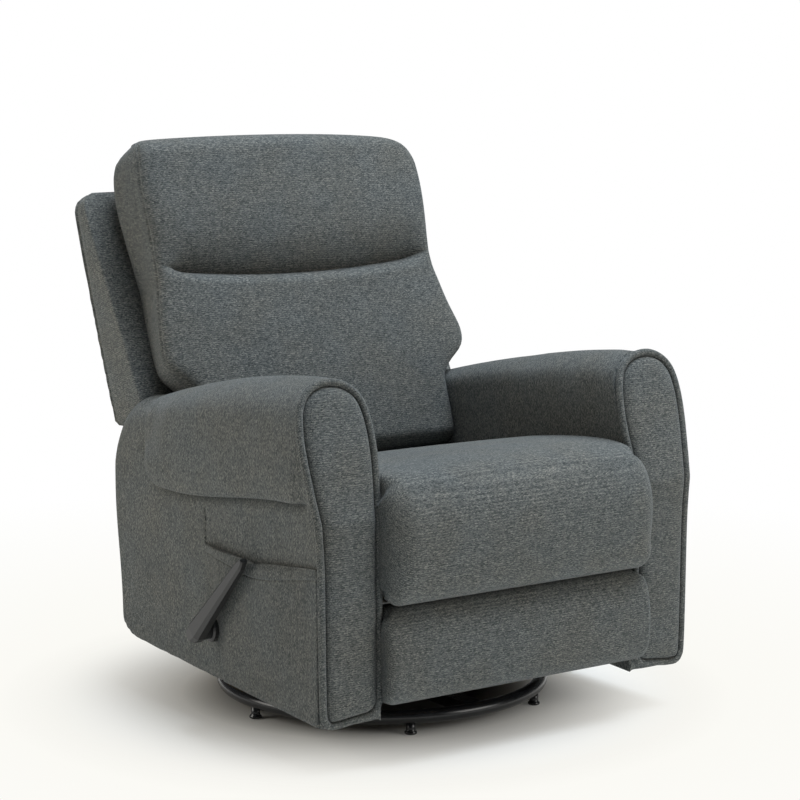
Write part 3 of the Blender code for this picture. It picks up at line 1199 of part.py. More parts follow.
cushion_rear = frame_front - 2 * CLEAR
cushion_rings = []
for v in cushion_levels:
    widening = ease((v - BACK_CUSHION_WIDENS) / BACK_CUSHION_WIDEN_RUN)
    half = BACK_CUSHION_LOW_HALF + (BACK_CUSHION_HALF - BACK_CUSHION_LOW_HALF) * widening
    end = max((v - BACK_CUSHION_TOP + BACK_CUSHION_CORNER) / BACK_CUSHION_CORNER, 0.0)
    half -= BACK_CUSHION_TUCK * (1 - sqrt(max(1 - end * end, 0.0)))
    low_end = max((BACK_CUSHION_BOTTOM + 0.03 - v) / 0.03, 0.0)
    half -= 0.012 * (1 - sqrt(max(1 - low_end * low_end, 0.0)))
    front = back_front(v)
    rear = cushion_rear - 0.012 * max(end, low_end) ** 2
    front = min(front, rear - 0.020)
    depth = rear - front
    ring = []
    for a, b in (
        (-1.0, 0.12), (-0.985, 0.0), (0.985, 0.0), (1.0, 0.12), (1.0, 0.55), (0.985, 0.72),
        (0.93, 0.83), (0.72, 0.95), (0.35, 1.0), (-0.35, 1.0), (-0.72, 0.95), (-0.93, 0.83),
        (-0.985, 0.72), (-1.0, 0.55),
    ):
        ring.append(Vector((a * half, rear - b * depth, v)))
    cushion_rings.append(ring)
add("back_cushion", loft(cushion_rings), FABRIC, HINGE_ORIGIN, LEAN)

# Put the origin at the bottom middle of the whole chair's box

bpy.context.view_layer.update()
corners = []
for piece in list(bpy.data.objects):
    if piece.type == "MESH":
        corners += [piece.matrix_world @ vert.co for vert in piece.data.vertices]
low = [min(corner[axis] for corner in corners) for axis in range(3)]
high = [max(corner[axis] for corner in corners) for axis in range(3)]
ROOT.location = (-(low[0] + high[0]) / 2, -(low[1] + high[1]) / 2, -low[2])

# Joint data for the record

print("box %.4f x %.4f x %.4f m" % tuple(high[axis] - low[axis] for axis in range(3)))
axes = {
    "swivel": ORIGIN,
    "rock": ROCK_AXIS,
    "footrest_extend": (0.0, *REAR_LINK_PIVOT),
    "guide": (0.0, *GUIDE_PIVOT),
    "carrier": (0.0, *knee),
    "control": (0.0, *control_start),
    "footrest": FOOTREST_ORIGIN,
    "lever": LEVER_ORIGIN,
    "drive_rod": (0.0, *crank_pin),
    "back": HINGE_ORIGIN,
}
for name, spot in axes.items():
    shown = Vector(spot) + ROOT.location
    print("joint %s at (%.5f, %.5f, %.5f)" % (name, *shown))
print("rear link swing %.3f degrees" % degrees(-rear_swing))
print("carrier swing %.3f degrees" % degrees(-carrier_swing))
print("guide swing %.3f degrees" % degrees(guide_first - guide_last))
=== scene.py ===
"""The looks of a swivel rocker recliner in a woven chenille tweed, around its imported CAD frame."""

import json

import bmesh
import bpy
import numpy as np
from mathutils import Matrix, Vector


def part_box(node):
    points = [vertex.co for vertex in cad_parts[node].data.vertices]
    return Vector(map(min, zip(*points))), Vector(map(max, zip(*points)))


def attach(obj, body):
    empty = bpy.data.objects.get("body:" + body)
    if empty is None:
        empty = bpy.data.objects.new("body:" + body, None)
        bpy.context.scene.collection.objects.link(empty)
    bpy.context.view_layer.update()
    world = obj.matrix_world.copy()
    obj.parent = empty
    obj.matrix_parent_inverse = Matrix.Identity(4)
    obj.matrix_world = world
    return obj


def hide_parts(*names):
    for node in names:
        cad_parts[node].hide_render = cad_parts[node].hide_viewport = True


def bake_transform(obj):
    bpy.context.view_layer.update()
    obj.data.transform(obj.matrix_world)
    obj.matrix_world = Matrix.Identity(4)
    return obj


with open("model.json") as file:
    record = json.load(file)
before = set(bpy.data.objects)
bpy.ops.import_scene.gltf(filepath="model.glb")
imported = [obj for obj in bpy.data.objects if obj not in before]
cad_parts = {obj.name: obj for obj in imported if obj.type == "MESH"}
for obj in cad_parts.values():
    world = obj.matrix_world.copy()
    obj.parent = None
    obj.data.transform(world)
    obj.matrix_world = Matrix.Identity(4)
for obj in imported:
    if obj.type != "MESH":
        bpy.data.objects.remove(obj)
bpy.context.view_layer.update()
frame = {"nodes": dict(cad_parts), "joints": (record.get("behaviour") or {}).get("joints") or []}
scene = bpy.context.scene
cad = frame["nodes"]


# Studio: a pale floor that fades into a white surround, three soft boxes and the camera.
# The chair is drawn about its swivel axis, with the sitter facing -Y, so the camera is placed from it.

swivel = np.array(frame["joints"][0]["pos_m"])
EYE = np.array((-2.3923, -3.4586, 1.1511))
GAZE = Vector((0.56904, 0.80936, -0.14539))
LENS_MM = 106.9
SENSOR_MM = 36.0

lens = bpy.data.cameras.new("camera")
lens.sensor_width = SENSOR_MM
lens.lens = LENS_MM
camera = bpy.data.objects.new("camera", lens)
camera.location = EYE + swivel
camera.rotation_mode = "QUATERNION"
camera.rotation_quaternion = GAZE.to_track_quat("-Z", "Y")
scene.collection.objects.link(camera)
scene.camera = camera
scene.view_settings.view_transform = "Standard"


def linear(code):
    """An sRGB hex colour as linear red, green, blue and alpha."""
    parts = [int(code[k:k + 2], 16) / 255 for k in (1, 3, 5)]
    return [p / 12.92 if p <= 0.04045 else ((p + 0.055) / 1.055) ** 2.4 for p in parts] + [1.0]


def set_node(tree, node, settings=(), links=()):
    """Set a node's options and sockets, and feed its sockets from other nodes."""
    for name, value in settings:
        if isinstance(name, str) and hasattr(node, name):
            setattr(node, name, value)
        else:
            node.inputs[name].default_value = value
    for name, source in links:
        tree.links.new(source, node.inputs[name])
    return node


def add_node(tree, kind, settings=(), links=()):
    """Add a node and set it."""
    return set_node(tree, tree.nodes.new(kind), settings, links)


def add_ramp(tree, factor, stops):
    """Add a colour ramp of places and linear colours, and give its colour."""
    ramp = add_node(tree, "ShaderNodeValToRGB", (), [("Fac", factor)])
    elements = ramp.color_ramp.elements
    while len(elements) < len(stops):
        elements.new(0.5)
    for element, (place, colour) in zip(elements, stops):
        element.position = place
        element.color = colour
    return ramp.outputs["Color"]


def add_math(tree, operation, *sources):
    """Add a sum on one to three sockets or constants, and give its value."""
    node = add_node(tree, "ShaderNodeMath", [("operation", operation)])
    for place, source in enumerate(sources):
        if isinstance(source, float):
            node.inputs[place].default_value = source
        else:
            tree.links.new(source, node.inputs[place])
    return node.outputs[0]


FLOOR_RADIUS, FLOOR_SIDES, FLOOR_DROP = 6.0, 96, 0.0005
FLOOR_COLOUR, PAINTED_SHADE_COLOUR = "#faf8f3", "#5c5b58"
# metres from the chair's middle: painted shade on the ground under it, lit floor, then paper that gives
# its own light
PAINTED_SHADE_END, GROUND_START = 0.20, 0.335
FADE_START, FADE_END = 0.26, 0.60
PAPER_NEAR, PAPER_FAR = 0.45, 2.0
PAPER_COLOURS = ((0.0, "#eeede8"), (0.14, "#fbfaf5"), (1.0, "#ffffff"))

floor_paint = bpy.data.materials.new("studio_floor")
floor_paint.use_nodes = True
tree = floor_paint.node_tree
tree.nodes.clear()
spot = add_node(tree, "ShaderNodeTexCoord").outputs["Object"]
length = add_node(tree, "ShaderNodeVectorMath", [("operation", "LENGTH")], [(0, spot)])
reach = length.outputs["Value"]
# painted shade: the floor's paint turns dark grey under the chair instead of being shadowed there
stops = ((PAINTED_SHADE_END, linear(PAINTED_SHADE_COLOUR)), (GROUND_START, linear(FLOOR_COLOUR)))
paint = add_node(tree, "ShaderNodeBsdfDiffuse", (), [("Color", add_ramp(tree, reach, stops))])
far = add_node(
    tree, "ShaderNodeMapRange", [("From Min", PAPER_NEAR), ("From Max", PAPER_FAR)], [("Value", reach)]
)
paper = add_ramp(tree, far.outputs[0], [(place, linear(code)) for place, code in PAPER_COLOURS])
glow = add_node(tree, "ShaderNodeEmission", [("Strength", 1.0)], [("Color", paper)])
fade = add_node(
    tree, "ShaderNodeMapRange",
    [("interpolation_type", "SMOOTHSTEP"), ("From Min", FADE_START), ("From Max", FADE_END)],
    [("Value", reach)],
)
path = add_node(tree, "ShaderNodeLightPath").outputs
seen = add_math(tree, "MAXIMUM", path["Is Camera Ray"], path["Is Glossy Ray"])
seen = add_math(tree, "MAXIMUM", seen, path["Is Transmission Ray"])
share = add_math(tree, "MULTIPLY", fade.outputs[0], seen)
blend = add_node(
    tree, "ShaderNodeMixShader", (), [(0, share), (1, paint.outputs[0]), (2, glow.outputs[0])]
)
add_node(tree, "ShaderNodeOutputMaterial", (), [("Surface", blend.outputs[0])])

turns = np.linspace(0, 2 * np.pi, FLOOR_SIDES, endpoint=False)
rim = [(FLOOR_RADIUS * np.cos(turn), FLOOR_RADIUS * np.sin(turn), 0.0) for turn in turns]
disc = bpy.data.meshes.new("studio_floor")
disc.from_pydata(rim, [], [list(range(FLOOR_SIDES))])
disc.materials.append(floor_paint)
floor = bpy.data.objects.new("studio_floor", disc)
floor.location = (0.0, 0.0, -FLOOR_DROP)
scene.collection.objects.link(floor)

SKY_STRENGTH = 0.09
surround = bpy.data.worlds.new("studio_surround")
surround.use_nodes = True
tree = surround.node_tree
tree.nodes.clear()
path = add_node(tree, "ShaderNodeLightPath").outputs
seen = add_math(tree, "MAXIMUM", path["Is Camera Ray"], path["Is Transmission Ray"])
level = add_node(
    tree, "ShaderNodeMapRange", [("To Min", SKY_STRENGTH), ("To Max", 1.0)], [("Value", seen)]
)
sky = add_node(
    tree, "ShaderNodeBackground", [("Color", linear("#ffffff"))], [("Strength", level.outputs[0])]
)
add_node(tree, "ShaderNodeOutputWorld", (), [("Surface", sky.outputs[0])])
scene.world = surround

# name, place from the swivel axis, aim, width and height in metres, watts, colour
SOFT_BOXES = (
    ("overhead", (0.8, -0.55, 4.2), (0.0, -0.05, 0.4), (2.8, 2.8), 280.0, "#e6f2ff"),
    ("front_right", (1.7, -2.9, 1.3), (0.0, 0.0, 0.5), (1.8, 1.6), 35.0, "#fffdf8"),
    ("left_rear", (-2.6, 1.0, 1.2), (0.0, 0.1, 0.5), (1.8, 1.4), 35.0, "#fffcf5"),
)
for name, place, aim, span, watts, code in SOFT_BOXES:
    lamp = bpy.data.lights.new(name, "AREA")
    lamp.shape = "RECTANGLE"
    lamp.size, lamp.size_y = span
    lamp.energy = watts
    lamp.color = linear(code)[:3]
    soft_box = bpy.data.objects.new(name, lamp)
    soft_box.location = np.array(place) + swivel
    soft_box.rotation_mode = "QUATERNION"
    soft_box.rotation_quaternion = (Vector(aim) - Vector(place)).to_track_quat("-Z", "Y")
    scene.collection.objects.link(soft_box)


# Floor ring, cross bars, turntable and rocker rails: bent and welded steel tube and bar.
# The ring is drawn as a true round tube, on six turned glides that are screwed in from below.
# Satin black powder coat: fine orange peel, a soft highlight and slightly dusty flats.

RING_TUBE = 0.0125
RING_STEPS, TUBE_STEPS = 161, 20
GLIDES, GLIDE_FIRST = 6, np.radians(5.0)
# radius and height of a turned floor glide, from the floor up into the tube
GLIDE_PROFILE = (
    (0.0090, 0.0), (0.0108, 0.0012), (0.0108, 0.0042),
    (0.0085, 0.0060), (0.0078, 0.0100), (0.0078, 0.0220),
)
COAT_COLOUR, COAT_DUST = "#17181a", 1.7
DUST_SIZE, PEEL_SIZE, PEEL_DEPTH = 0.030, 0.0016, 0.0003


def new_material(name):
    """A new material, its tree, its principled shader and the object's coordinates in metres."""
    made = bpy.data.materials.new(name)
    made.use_nodes = True
    tree = made.node_tree
    where = add_node(tree, "ShaderNodeTexCoord").outputs["Object"]
    return made, tree, tree.nodes["Principled BSDF"], where


def add_noise(tree, where, size, detail):
    """Cloudy noise with features of about the given size in metres."""
    settings = [("Scale", 1 / size), ("Detail", detail)]
    return add_node(tree, "ShaderNodeTexNoise", settings, [("Vector", where)]).outputs["Fac"]


def add_range(tree, value, low, high):
    """A value from 0 to 1 spread over a range."""
    settings = [("To Min", low), ("To Max", high)]
    return add_node(tree, "ShaderNodeMapRange", settings, [("Value", value)]).outputs[0]


def add_bump(tree, height, strength, depth):
    """Fine relief of the given depth in metres."""
    settings = [("Strength", strength), ("Distance", depth)]
    return add_node(tree, "ShaderNodeBump", settings, [("Height", height)]).outputs[0]


def finish_nodes(material, *names):
    """Give a material to solids of the frame that show as they are."""
    for name in names:
        cad[name].data.materials.clear()
        cad[name].data.materials.append(material)


def outward(piece):
    """Join points that meet and turn every face of a closed piece to the outside."""
    shape = bmesh.new()
    shape.from_mesh(piece.data)
    bmesh.ops.remove_doubles(shape, verts=shape.verts, dist=1e-5)
    bmesh.ops.recalc_face_normals(shape, faces=shape.faces)
    shape.to_mesh(piece.data)
    shape.free()


def skin(name, rings, material, capped=(True, True)):
    """A smooth closed piece through equal rings of points, with its ends drawn together in rows."""
    rings = [np.asarray(ring, float) for ring in rings]
    for end in (0, -1):
        if capped[end]:
            middle = rings[end].mean(axis=0)
            rows = [middle + (rings[end] - middle) * share for share in (0.8, 0.55, 0.3, 0.1)]
            rings = list(reversed(rows)) + rings if end == 0 else rings + rows
    count = len(rings[0])
    points = np.vstack(rings)
    faces = []
    for r in range(len(rings) - 1):
        for k in range(count):
            n = (k + 1) % count
            faces.append((r * count + k, r * count + n, (r + 1) * count + n, (r + 1) * count + k))
    if capped[0]:
        faces.append(list(reversed(range(count))))
    if capped[1]:
        faces.append(list(range((len(rings) - 1) * count, len(rings) * count)))
    mesh = bpy.data.meshes.new(name)
    mesh.from_pydata((points + swivel).tolist(), [], faces)
    mesh.materials.append(material)
    made = bpy.data.objects.new(name, mesh)
    scene.collection.objects.link(made)
    outward(made)
    mesh.shade_smooth()
    return made


black_coat, tree, shader, where = new_material("black_powder_coat")
dust = add_noise(tree, where, DUST_SIZE, 4.0)
peel = add_noise(tree, where, PEEL_SIZE, 1.0)
clean = linear(COAT_COLOUR)
dusty = [c * COAT_DUST for c in clean[:3]] + [1.0]
set_node(tree, shader, [("IOR", 1.5)], [
    ("Base Color", add_ramp(tree, dust, ((0.35, clean), (0.75, dusty)))),
    ("Roughness", add_range(tree, dust, 0.17, 0.30)),
    ("Normal", add_bump(tree, peel, 0.12, PEEL_DEPTH)),
])

low, high = (np.array(corner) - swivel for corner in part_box("base_ring"))
ring_radius = 0.5 * (high[0] - low[0]) - RING_TUBE
ring_height = high[2] - RING_TUBE
around = np.linspace(0, 2 * np.pi, TUBE_STEPS, endpoint=False)
ring_rows = []
for turn in np.linspace(0, 2 * np.pi, RING_STEPS):
    reach = ring_radius + RING_TUBE * np.cos(around)
    height = ring_height + RING_TUBE * np.sin(around)
    ring_rows.append(np.stack([reach * np.cos(turn), reach * np.sin(turn), height], axis=1))
ring = skin("floor_ring", ring_rows, black_coat, (False, False))
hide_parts("base_ring")
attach(ring, "base")

for number in range(GLIDES):
    turn = GLIDE_FIRST + 2 * np.pi * number / GLIDES
    spot = np.array((ring_radius * np.cos(turn), ring_radius * np.sin(turn), 0.0))
    rows = []
    for radius, height in GLIDE_PROFILE:
        level = np.full(TUBE_STEPS, height)
        rows.append(spot + np.stack([radius * np.cos(around), radius * np.sin(around), level], axis=1))
    glide = skin("ring_glide_%d" % (number + 1), rows, black_coat)
    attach(glide, "base")

finish_nodes(
    black_coat, "base_cross", "swivel_upper_plate", "rocker_rail_left", "rocker_rail_right",
    "chassis_rail_left", "chassis_rail_right", "chassis_cross_tube_front", "chassis_cross_tube_rear",
)


# Swivel plate, king bolt, mechanism plates and links: stamped steel, bright zinc plated.
# Zinc shows a faint crystalline mottling and a cool, slightly blue reflection.

SIDES = (("left", 1), ("right", -1))
LINKS = (
    "side_plate", "rear_link", "guide_link", "carrier_link", "control_link", "drive_rod",
    "footrest_bracket", "back_bracket",
)
CRYSTAL_SIZE = 0.004

zinc, tree, shader, where = new_material("zinc_plated_steel")
crystals = add_node(
    tree, "ShaderNodeTexVoronoi", [("Scale", 1 / CRYSTAL_SIZE)], [("Vector", where)]
).outputs["Distance"]
set_node(tree, shader, [("Metallic", 1.0)], [
    ("Base Color", add_ramp(tree, crystals, ((0.0, linear("#8f9498")), (1.0, linear("#b9bcbc"))))),
    ("Roughness", add_range(tree, crystals, 0.28, 0.45)),
])
finish_nodes(zinc, "swivel_lower_plate", "swivel_king_bolt", "drive_tube")
for side, _ in SIDES:
    finish_nodes(zinc, *[link + "_" + side for link in LINKS])


# Rocker coils and the serpentine seat wire: oil-tempered spring wire, dark and slightly brown.
# One stiff coil on each side stands between the rocker rail and the chassis: on the chair its lower end
# stays on the turntable while its upper end tips, but here it is drawn at rest.

COIL_TURNS, COIL_STEPS = 4, 28
COIL_WIRE, WIRE_STEPS = 0.0020, 10
FILM_SIZE = 0.012

wire, tree, shader, where = new_material("oil_tempered_wire")
film = add_noise(tree, where, FILM_SIZE, 3.0)
set_node(tree, shader, [("Metallic", 1.0), ("Roughness", 0.38)], [
    ("Base Color", add_ramp(tree, film, ((0.0, linear("#4a4744")), (1.0, linear("#6d6a66"))))),
])
finish_nodes(wire, "seat_spring_wire")

around = np.linspace(0, 2 * np.pi, WIRE_STEPS, endpoint=False)
up = np.array((0, 0, 1))
for side, _ in SIDES:
    low, high = (np.array(corner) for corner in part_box("rocker_spring_" + side))
    middle = 0.5 * (low + high)
    radius = 0.5 * (high[0] - low[0]) - COIL_WIRE
    rise = np.linspace(low[2] + COIL_WIRE, high[2] - COIL_WIRE, COIL_TURNS * COIL_STEPS + 1)
    coil_rings = []
    for turn, z in zip(np.linspace(0, 2 * np.pi * COIL_TURNS, len(rise)), rise):
        out = np.array((np.cos(turn), np.sin(turn), 0.0))
        spot = np.array((middle[0], middle[1], z)) + radius * out
        coil_rings.append([spot + COIL_WIRE * (np.cos(a) * out + np.sin(a) * up) for a in around])
    coil = skin("rocker_coil_" + side, np.array(coil_rings) - swivel, wire)
    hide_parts("rocker_spring_" + side)
    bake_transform(coil)


# Bearing ring and crowned rocker pads: natural nylon, injection moulded.
# Milky ivory with faint clouds and a dull moulded skin.

CLOUD_SIZE = 0.020

nylon, tree, shader, where = new_material("natural_nylon")
cloud = add_noise(tree, where, CLOUD_SIZE, 2.0)
set_node(tree, shader, [("Roughness", 0.5)], [
    ("Base Color", add_ramp(tree, cloud, ((0.0, linear("#d9d4c5")), (1.0, linear("#e8e5da"))))),
])
finish_nodes(nylon, "swivel_bearing_ring", "rocker_pad_left", "rocker_pad_right")


# Arm boards, seat rails, rear rail, footrest board and back frame: raw birch plywood and softwood bars.
# Pale straw wood with long grain streaks along the piece.

GRAIN_LONG_MM, GRAIN_CROSS_MM, GRAIN_DEPTH = 90.0, 3.0, 0.0005


def raw_wood(name, along):
    """Bare wood with its grain along one axis."""
    made, tree, shader, where = new_material(name)
    grain_mm = [GRAIN_CROSS_MM] * 3
    grain_mm[along] = GRAIN_LONG_MM
    stretch = add_node(
        tree, "ShaderNodeMapping", [("Scale", [1000 / mm for mm in grain_mm])], [("Vector", where)]
    )
    grain = add_node(
        tree, "ShaderNodeTexNoise", [("Scale", 1.0), ("Detail", 5.0), ("Distortion", 0.4)],
        [("Vector", stretch.outputs[0])],
    ).outputs["Fac"]
    set_node(tree, shader, [("Roughness", 0.7)], [
        ("Base Color", add_ramp(tree, grain, ((0.0, linear("#a9834f")), (1.0, linear("#d9bf93"))))),
        ("Normal", add_bump(tree, grain, 0.25, GRAIN_DEPTH)),
    ])
    return made


finish_nodes(
    raw_wood("birch_ply_lengthwise", 1),
    "arm_board_left", "arm_board_right", "seat_side_rail_left", "seat_side_rail_right",
)
finish_nodes(
    raw_wood("birch_ply_crosswise", 0),
    "seat_rail_front", "seat_rail_rear", "rear_rail", "footrest_board", "back_panel",
)
finish_nodes(raw_wood("pine_uprights", 2), "back_upright_left", "back_upright_right")


# Arm covers: chenille tweed pulled over the plywood boards, with a thick pillow over the top.
# The pillow is sewn to the flat outer side along a curved seam, so it swells over a deep crease.

# the real ribs are about 1.5 mm apart, too fine to show, so they are drawn wider;
# each takes a full turn of the sine, in thousandths because the surface is in metres
RIB_MM, RIB_TURN = 3.6, 6283
RIB_SWAY, RIB_SHARE, FUZZ_SHARE = 2.0, 0.07, 0.42
PILE_DEPTH, PATCH_SIZE = 0.0012, 0.085
YARNS = (
    (0.14, "#2d2f2e"), (0.36, "#464846"), (0.52, "#555652"), (0.68, "#62625e"), (0.88, "#827f77"),
)
# cool and warm patches, as factors on the yarns' red, green and blue
PATCH_TINTS = ((0.32, (0.97, 1.0, 1.03, 1.0)), (0.68, (1.02, 1.005, 0.98, 1.0)))


def chenille(name, fleck_mm, weft, lift=1.0):
    """Tweed of soft pile yarns: short flecks of five greys in fine ribs, counted off along the weft;
    the last argument scales the yarns' colours, as painted light or painted shade on some parts.
    """
    made, tree, shader, where = new_material(name)
    stretch = add_node(
        tree, "ShaderNodeMapping", [("Scale", [1000 / mm for mm in fleck_mm])], [("Vector", where)]
    ).outputs[0]
    yarn = add_node(
        tree, "ShaderNodeTexVoronoi", [("Scale", 1.0), ("Randomness", 1.0)], [("Vector", stretch)]
    )
    pick = add_node(tree, "ShaderNodeSeparateColor", (), [(0, yarn.outputs["Color"])])
    fuzz = add_node(
        tree, "ShaderNodeTexNoise", [("Scale", 1.4), ("Detail", 3.0), ("Roughness", 0.65)],
        [("Vector", stretch)],
    ).outputs["Fac"]
    mixed = add_node(
        tree, "ShaderNodeMix", [("data_type", "FLOAT"), (0, FUZZ_SHARE)],
        [(2, pick.outputs[0]), (3, fuzz)],
    )
    count = add_node(
        tree, "ShaderNodeVectorMath",
        [("operation", "DOT_PRODUCT"), (1, [w * RIB_TURN / RIB_MM for w in weft])], [(0, where)],
    )
    sway = add_math(tree, "MULTIPLY_ADD", fuzz, RIB_SWAY, count.outputs["Value"])
    rib = add_math(tree, "SINE", sway)
    woven = add_math(tree, "MULTIPLY_ADD", rib, RIB_SHARE, mixed.outputs[0])
    # lift scales the yarns' colours: above 1 it is painted light, below 1 painted shade
    stops = [(place, [c * lift for c in linear(code)[:3]] + [1.0]) for place, code in YARNS]
    tint = add_ramp(tree, add_noise(tree, where, PATCH_SIZE, 2.0), PATCH_TINTS)
    cloth = add_node(
        tree, "ShaderNodeMix", [("data_type", "RGBA"), ("blend_type", "MULTIPLY"), (0, 1.0)],
        [(6, add_ramp(tree, woven, stops)), (7, tint)],
    )
    pile = add_math(tree, "SUBTRACT", fuzz, yarn.outputs["Distance"])
    set_node(
        tree, shader,
        [
            ("Roughness", 0.92), ("Specular IOR Level", 0.25), ("Sheen Weight", 0.14),
            ("Sheen Roughness", 0.45), ("Sheen Tint", linear("#c9cfd2")),
        ],
        [("Base Color", cloth.outputs[2]), ("Normal", add_bump(tree, pile, 0.45, PILE_DEPTH))],
    )
    return made


def ease(value):
    """A smooth step from 0 to 1."""
    value = np.clip(value, 0.0, 1.0)
    return value * value * (3 - 2 * value)


def smooth_line(points, count, closed=False, dense=None):
    """A smooth line through points, resampled evenly or closer together where dense is large."""
    p = np.asarray(points, float)
    if closed:
        p = np.vstack([p[-1:], p, p[:2]])
    else:
        p = np.vstack([2 * p[0] - p[1], p, 2 * p[-1] - p[-2]])
    t = np.linspace(0, 1, 20, endpoint=False)[:, None]
    fine = []
    for a, b, c, d in zip(p[:-3], p[1:-2], p[2:-1], p[3:]):
        curve = 2 * b + (c - a) * t + (2 * a - 5 * b + 4 * c - d) * t ** 2
        fine.append(0.5 * (curve + (3 * b - a - 3 * c + d) * t ** 3))
    fine = np.vstack(fine + [p[-2:-1]])
    step = np.linalg.norm(np.diff(fine, axis=0), axis=1)
    if dense:
        step = step * dense(0.5 * (fine[1:] + fine[:-1]))
    run = np.r_[0, np.cumsum(step)]
    at = np.linspace(0, run[-1], count, endpoint=not closed)
    return np.stack([np.interp(at, run, fine[:, k]) for k in range(p.shape[1])], axis=1)


def ripple(points, size, seed):
    """Slow uneven waves between -1 and 1, about as long as the given size in metres."""
    chance = np.random.default_rng(seed)
    total = np.zeros(len(points))
    for _ in range(6):
        way = chance.normal(size=3)
        way /= np.linalg.norm(way)
        pitch = chance.uniform(0.7, 1.4)
        shift = chance.uniform(0, 6.28)
        total += np.sin(points @ way * (2 * np.pi / size) * pitch + shift)
    return total / 6


# the left arm in metres from the swivel axis: its sides, ends and top, and its corners at the rear
ARM_INNER, ARM_SIDE, ARM_OUTSIDE = 0.2648, 0.3835, 0.36
INNER_SWELL, INNER_SWELL_Y, INNER_SWELL_RUN = 0.0070, -0.15, 0.2
OUTER_X, OUTER_RUN = 0.318, 0.055
ARM_FRONT, COVER_FRONT, ARM_REAR = -0.367, -0.3785, 0.2965
ARM_LOW_FRONT, ARM_LOW_REAR, ARM_WAIST = 0.0785, 0.108, 0.40
ARM_CREST, CREST_Y, CREST_Z = 0.308, -0.330, 0.630
CREST_SLOPE, CREST_CURVE = 0.047, 0.205
SHOULDER_Y, SHOULDER_Z = 0.225, 0.42
TAPER, TAPER_Y, TAPER_RUN, TAPER_RISE = 0.005, 0.215, 0.08, 0.10
BOTTOM_CORNER, BOTTOM_RUN = 0.036, 0.064
RAKE, RAKE_START = 0.058, 0.411
HEEL_TUCK, HEEL_Z, HEEL_RUN = 0.020, 0.38, 0.26
REAR_EDGE, REAR_EDGE_RUN = 0.0025, 0.010
RUMPLE, RUMPLE_SIZE, RUMPLE_SEED, RUMPLE_Z, RUMPLE_RISE = 0.0016, 0.16, 4, 0.12, 0.05
ARM_SAG, SAG_Z, SAG_RISE = {"left": 0.007, "right": 0.0}, 0.45, 0.15
ARM_POINTS, DENSE_Z, DENSE_RUN = 230, 0.418, 0.03
# the pillow's sewn edge on the arm's side, and the crease and hanging lip along it
SEAM_FRONT_Z, SEAM_REAR_Z, SEAM_RUN = 0.439, 0.402, 0.40
SEAM_PULL, SEAM_ABOVE, SEAM_BELOW = 0.009, 0.005, 0.014
LIP, LIP_MIDDLE, LIP_WIDTH = 0.011, 0.011, 0.008
PILLOW_CORNER, PILLOW_REAR, PILLOW_LEAN, PILLOW_LEAN_Z = 0.060, 0.185, 0.35, 0.47
# the pillow's swell, which the welt holds flatter in front and which fades out over the shoulder
PILLOW_SWELL, PILLOW_ROLL = 0.0205, 0.034
FRONT_SWELL, FRONT_ROLL, FRONT_Y, FRONT_RUN = 0.0175, 0.080, -0.318, 0.040
REAR_FADE, REAR_FADE_Y, REAR_FADE_RUN, REAR_FADE_Z, REAR_FADE_RISE = 0.85, 0.08, 0.09, 0.425, 0.06
# the rear seam of the side pocket, which draws the right arm's side in
POCKET_REAR_TOP, POCKET_REAR_BOTTOM = -0.0305, -0.0880
POCKET_MOUTH_REAR, POCKET_FLOOR = 0.324, 0.095
GROOVE, GROOVE_OFF, GROOVE_WIDTH = 0.0040, 0.0022, 0.0026
GROOVE_LOW, GROOVE_BEND, GROOVE_TOP = 0.088, 0.335, 0.368

arm_cloth = chenille("chenille_tweed_arms", (1.7, 1.2, 3.0), (0, 1, 0))


def arm_top(y):
    """Height of the arm's crest, which falls off round the shoulder at the rear."""
    run = np.maximum(np.minimum(y, SHOULDER_Y) - CREST_Y, 0.0)
    crest = CREST_Z - CREST_SLOPE * run - CREST_CURVE * run * run
    reach = np.clip((y - SHOULDER_Y) / (ARM_REAR + 0.001 - SHOULDER_Y), 0.0, 1.0)
    return SHOULDER_Z + (crest - SHOULDER_Z) * (1 - reach ** 3) ** (1 / 3)


def arm_low(y):
    """Height of the arm's lower edge, with its rounded rear corner."""
    share = (y - ARM_FRONT) / (ARM_REAR - ARM_FRONT)
    run = np.clip((y - ARM_REAR + BOTTOM_RUN) / BOTTOM_RUN, 0.0, 1.0)
    corner = BOTTOM_CORNER * (1 - np.sqrt(1 - run * run))
    return ARM_LOW_FRONT + (ARM_LOW_REAR - ARM_LOW_FRONT) * share + corner


def near_seam(points):
    """Closer points on the outer side about the pillow's seam."""
    close = np.exp(-((points[:, 1] - DENSE_Z) / DENSE_RUN) ** 2)
    return 1 + 3.0 * close * (points[:, 0] > ARM_OUTSIDE)


def arm_section(y):
    """Cross-section of the arm without its pillow, as a closed (x, z) line."""
    low, top = arm_low(y), arm_top(y)
    h = top - ARM_WAIST
    middle = 0.5 * (low + ARM_WAIST)
    swell = INNER_SWELL * (1 - ease((y - INNER_SWELL_Y) / INNER_SWELL_RUN))
    line = [
        (ARM_INNER + 0.012, low), (ARM_SIDE - 0.012, low), (ARM_SIDE - 0.003, low + 0.004),
        (ARM_SIDE, low + 0.016), (ARM_SIDE, middle), (ARM_SIDE, ARM_WAIST),
        (ARM_SIDE - 0.0005, ARM_WAIST + 0.32 * h), (ARM_SIDE - 0.0045, ARM_WAIST + 0.57 * h),
        (ARM_SIDE - 0.0135, ARM_WAIST + 0.78 * h), (ARM_SIDE - 0.032, ARM_WAIST + 0.925 * h),
        (ARM_CREST + 0.022, top - 0.0015), (ARM_CREST, top),
        (ARM_CREST - 0.022, top - 0.0085 * min(h / 0.2, 1)),
        (ARM_INNER + 0.004 - swell, ARM_WAIST + 0.84 * h), (ARM_INNER - swell, ARM_WAIST + 0.62 * h),
        (ARM_INNER - 0.2 * swell, ARM_WAIST + 0.30 * h), (ARM_INNER, ARM_WAIST),
        (ARM_INNER, middle), (ARM_INNER, low + 0.012),
    ]
    return smooth_line(line, ARM_POINTS, closed=True, dense=near_seam)


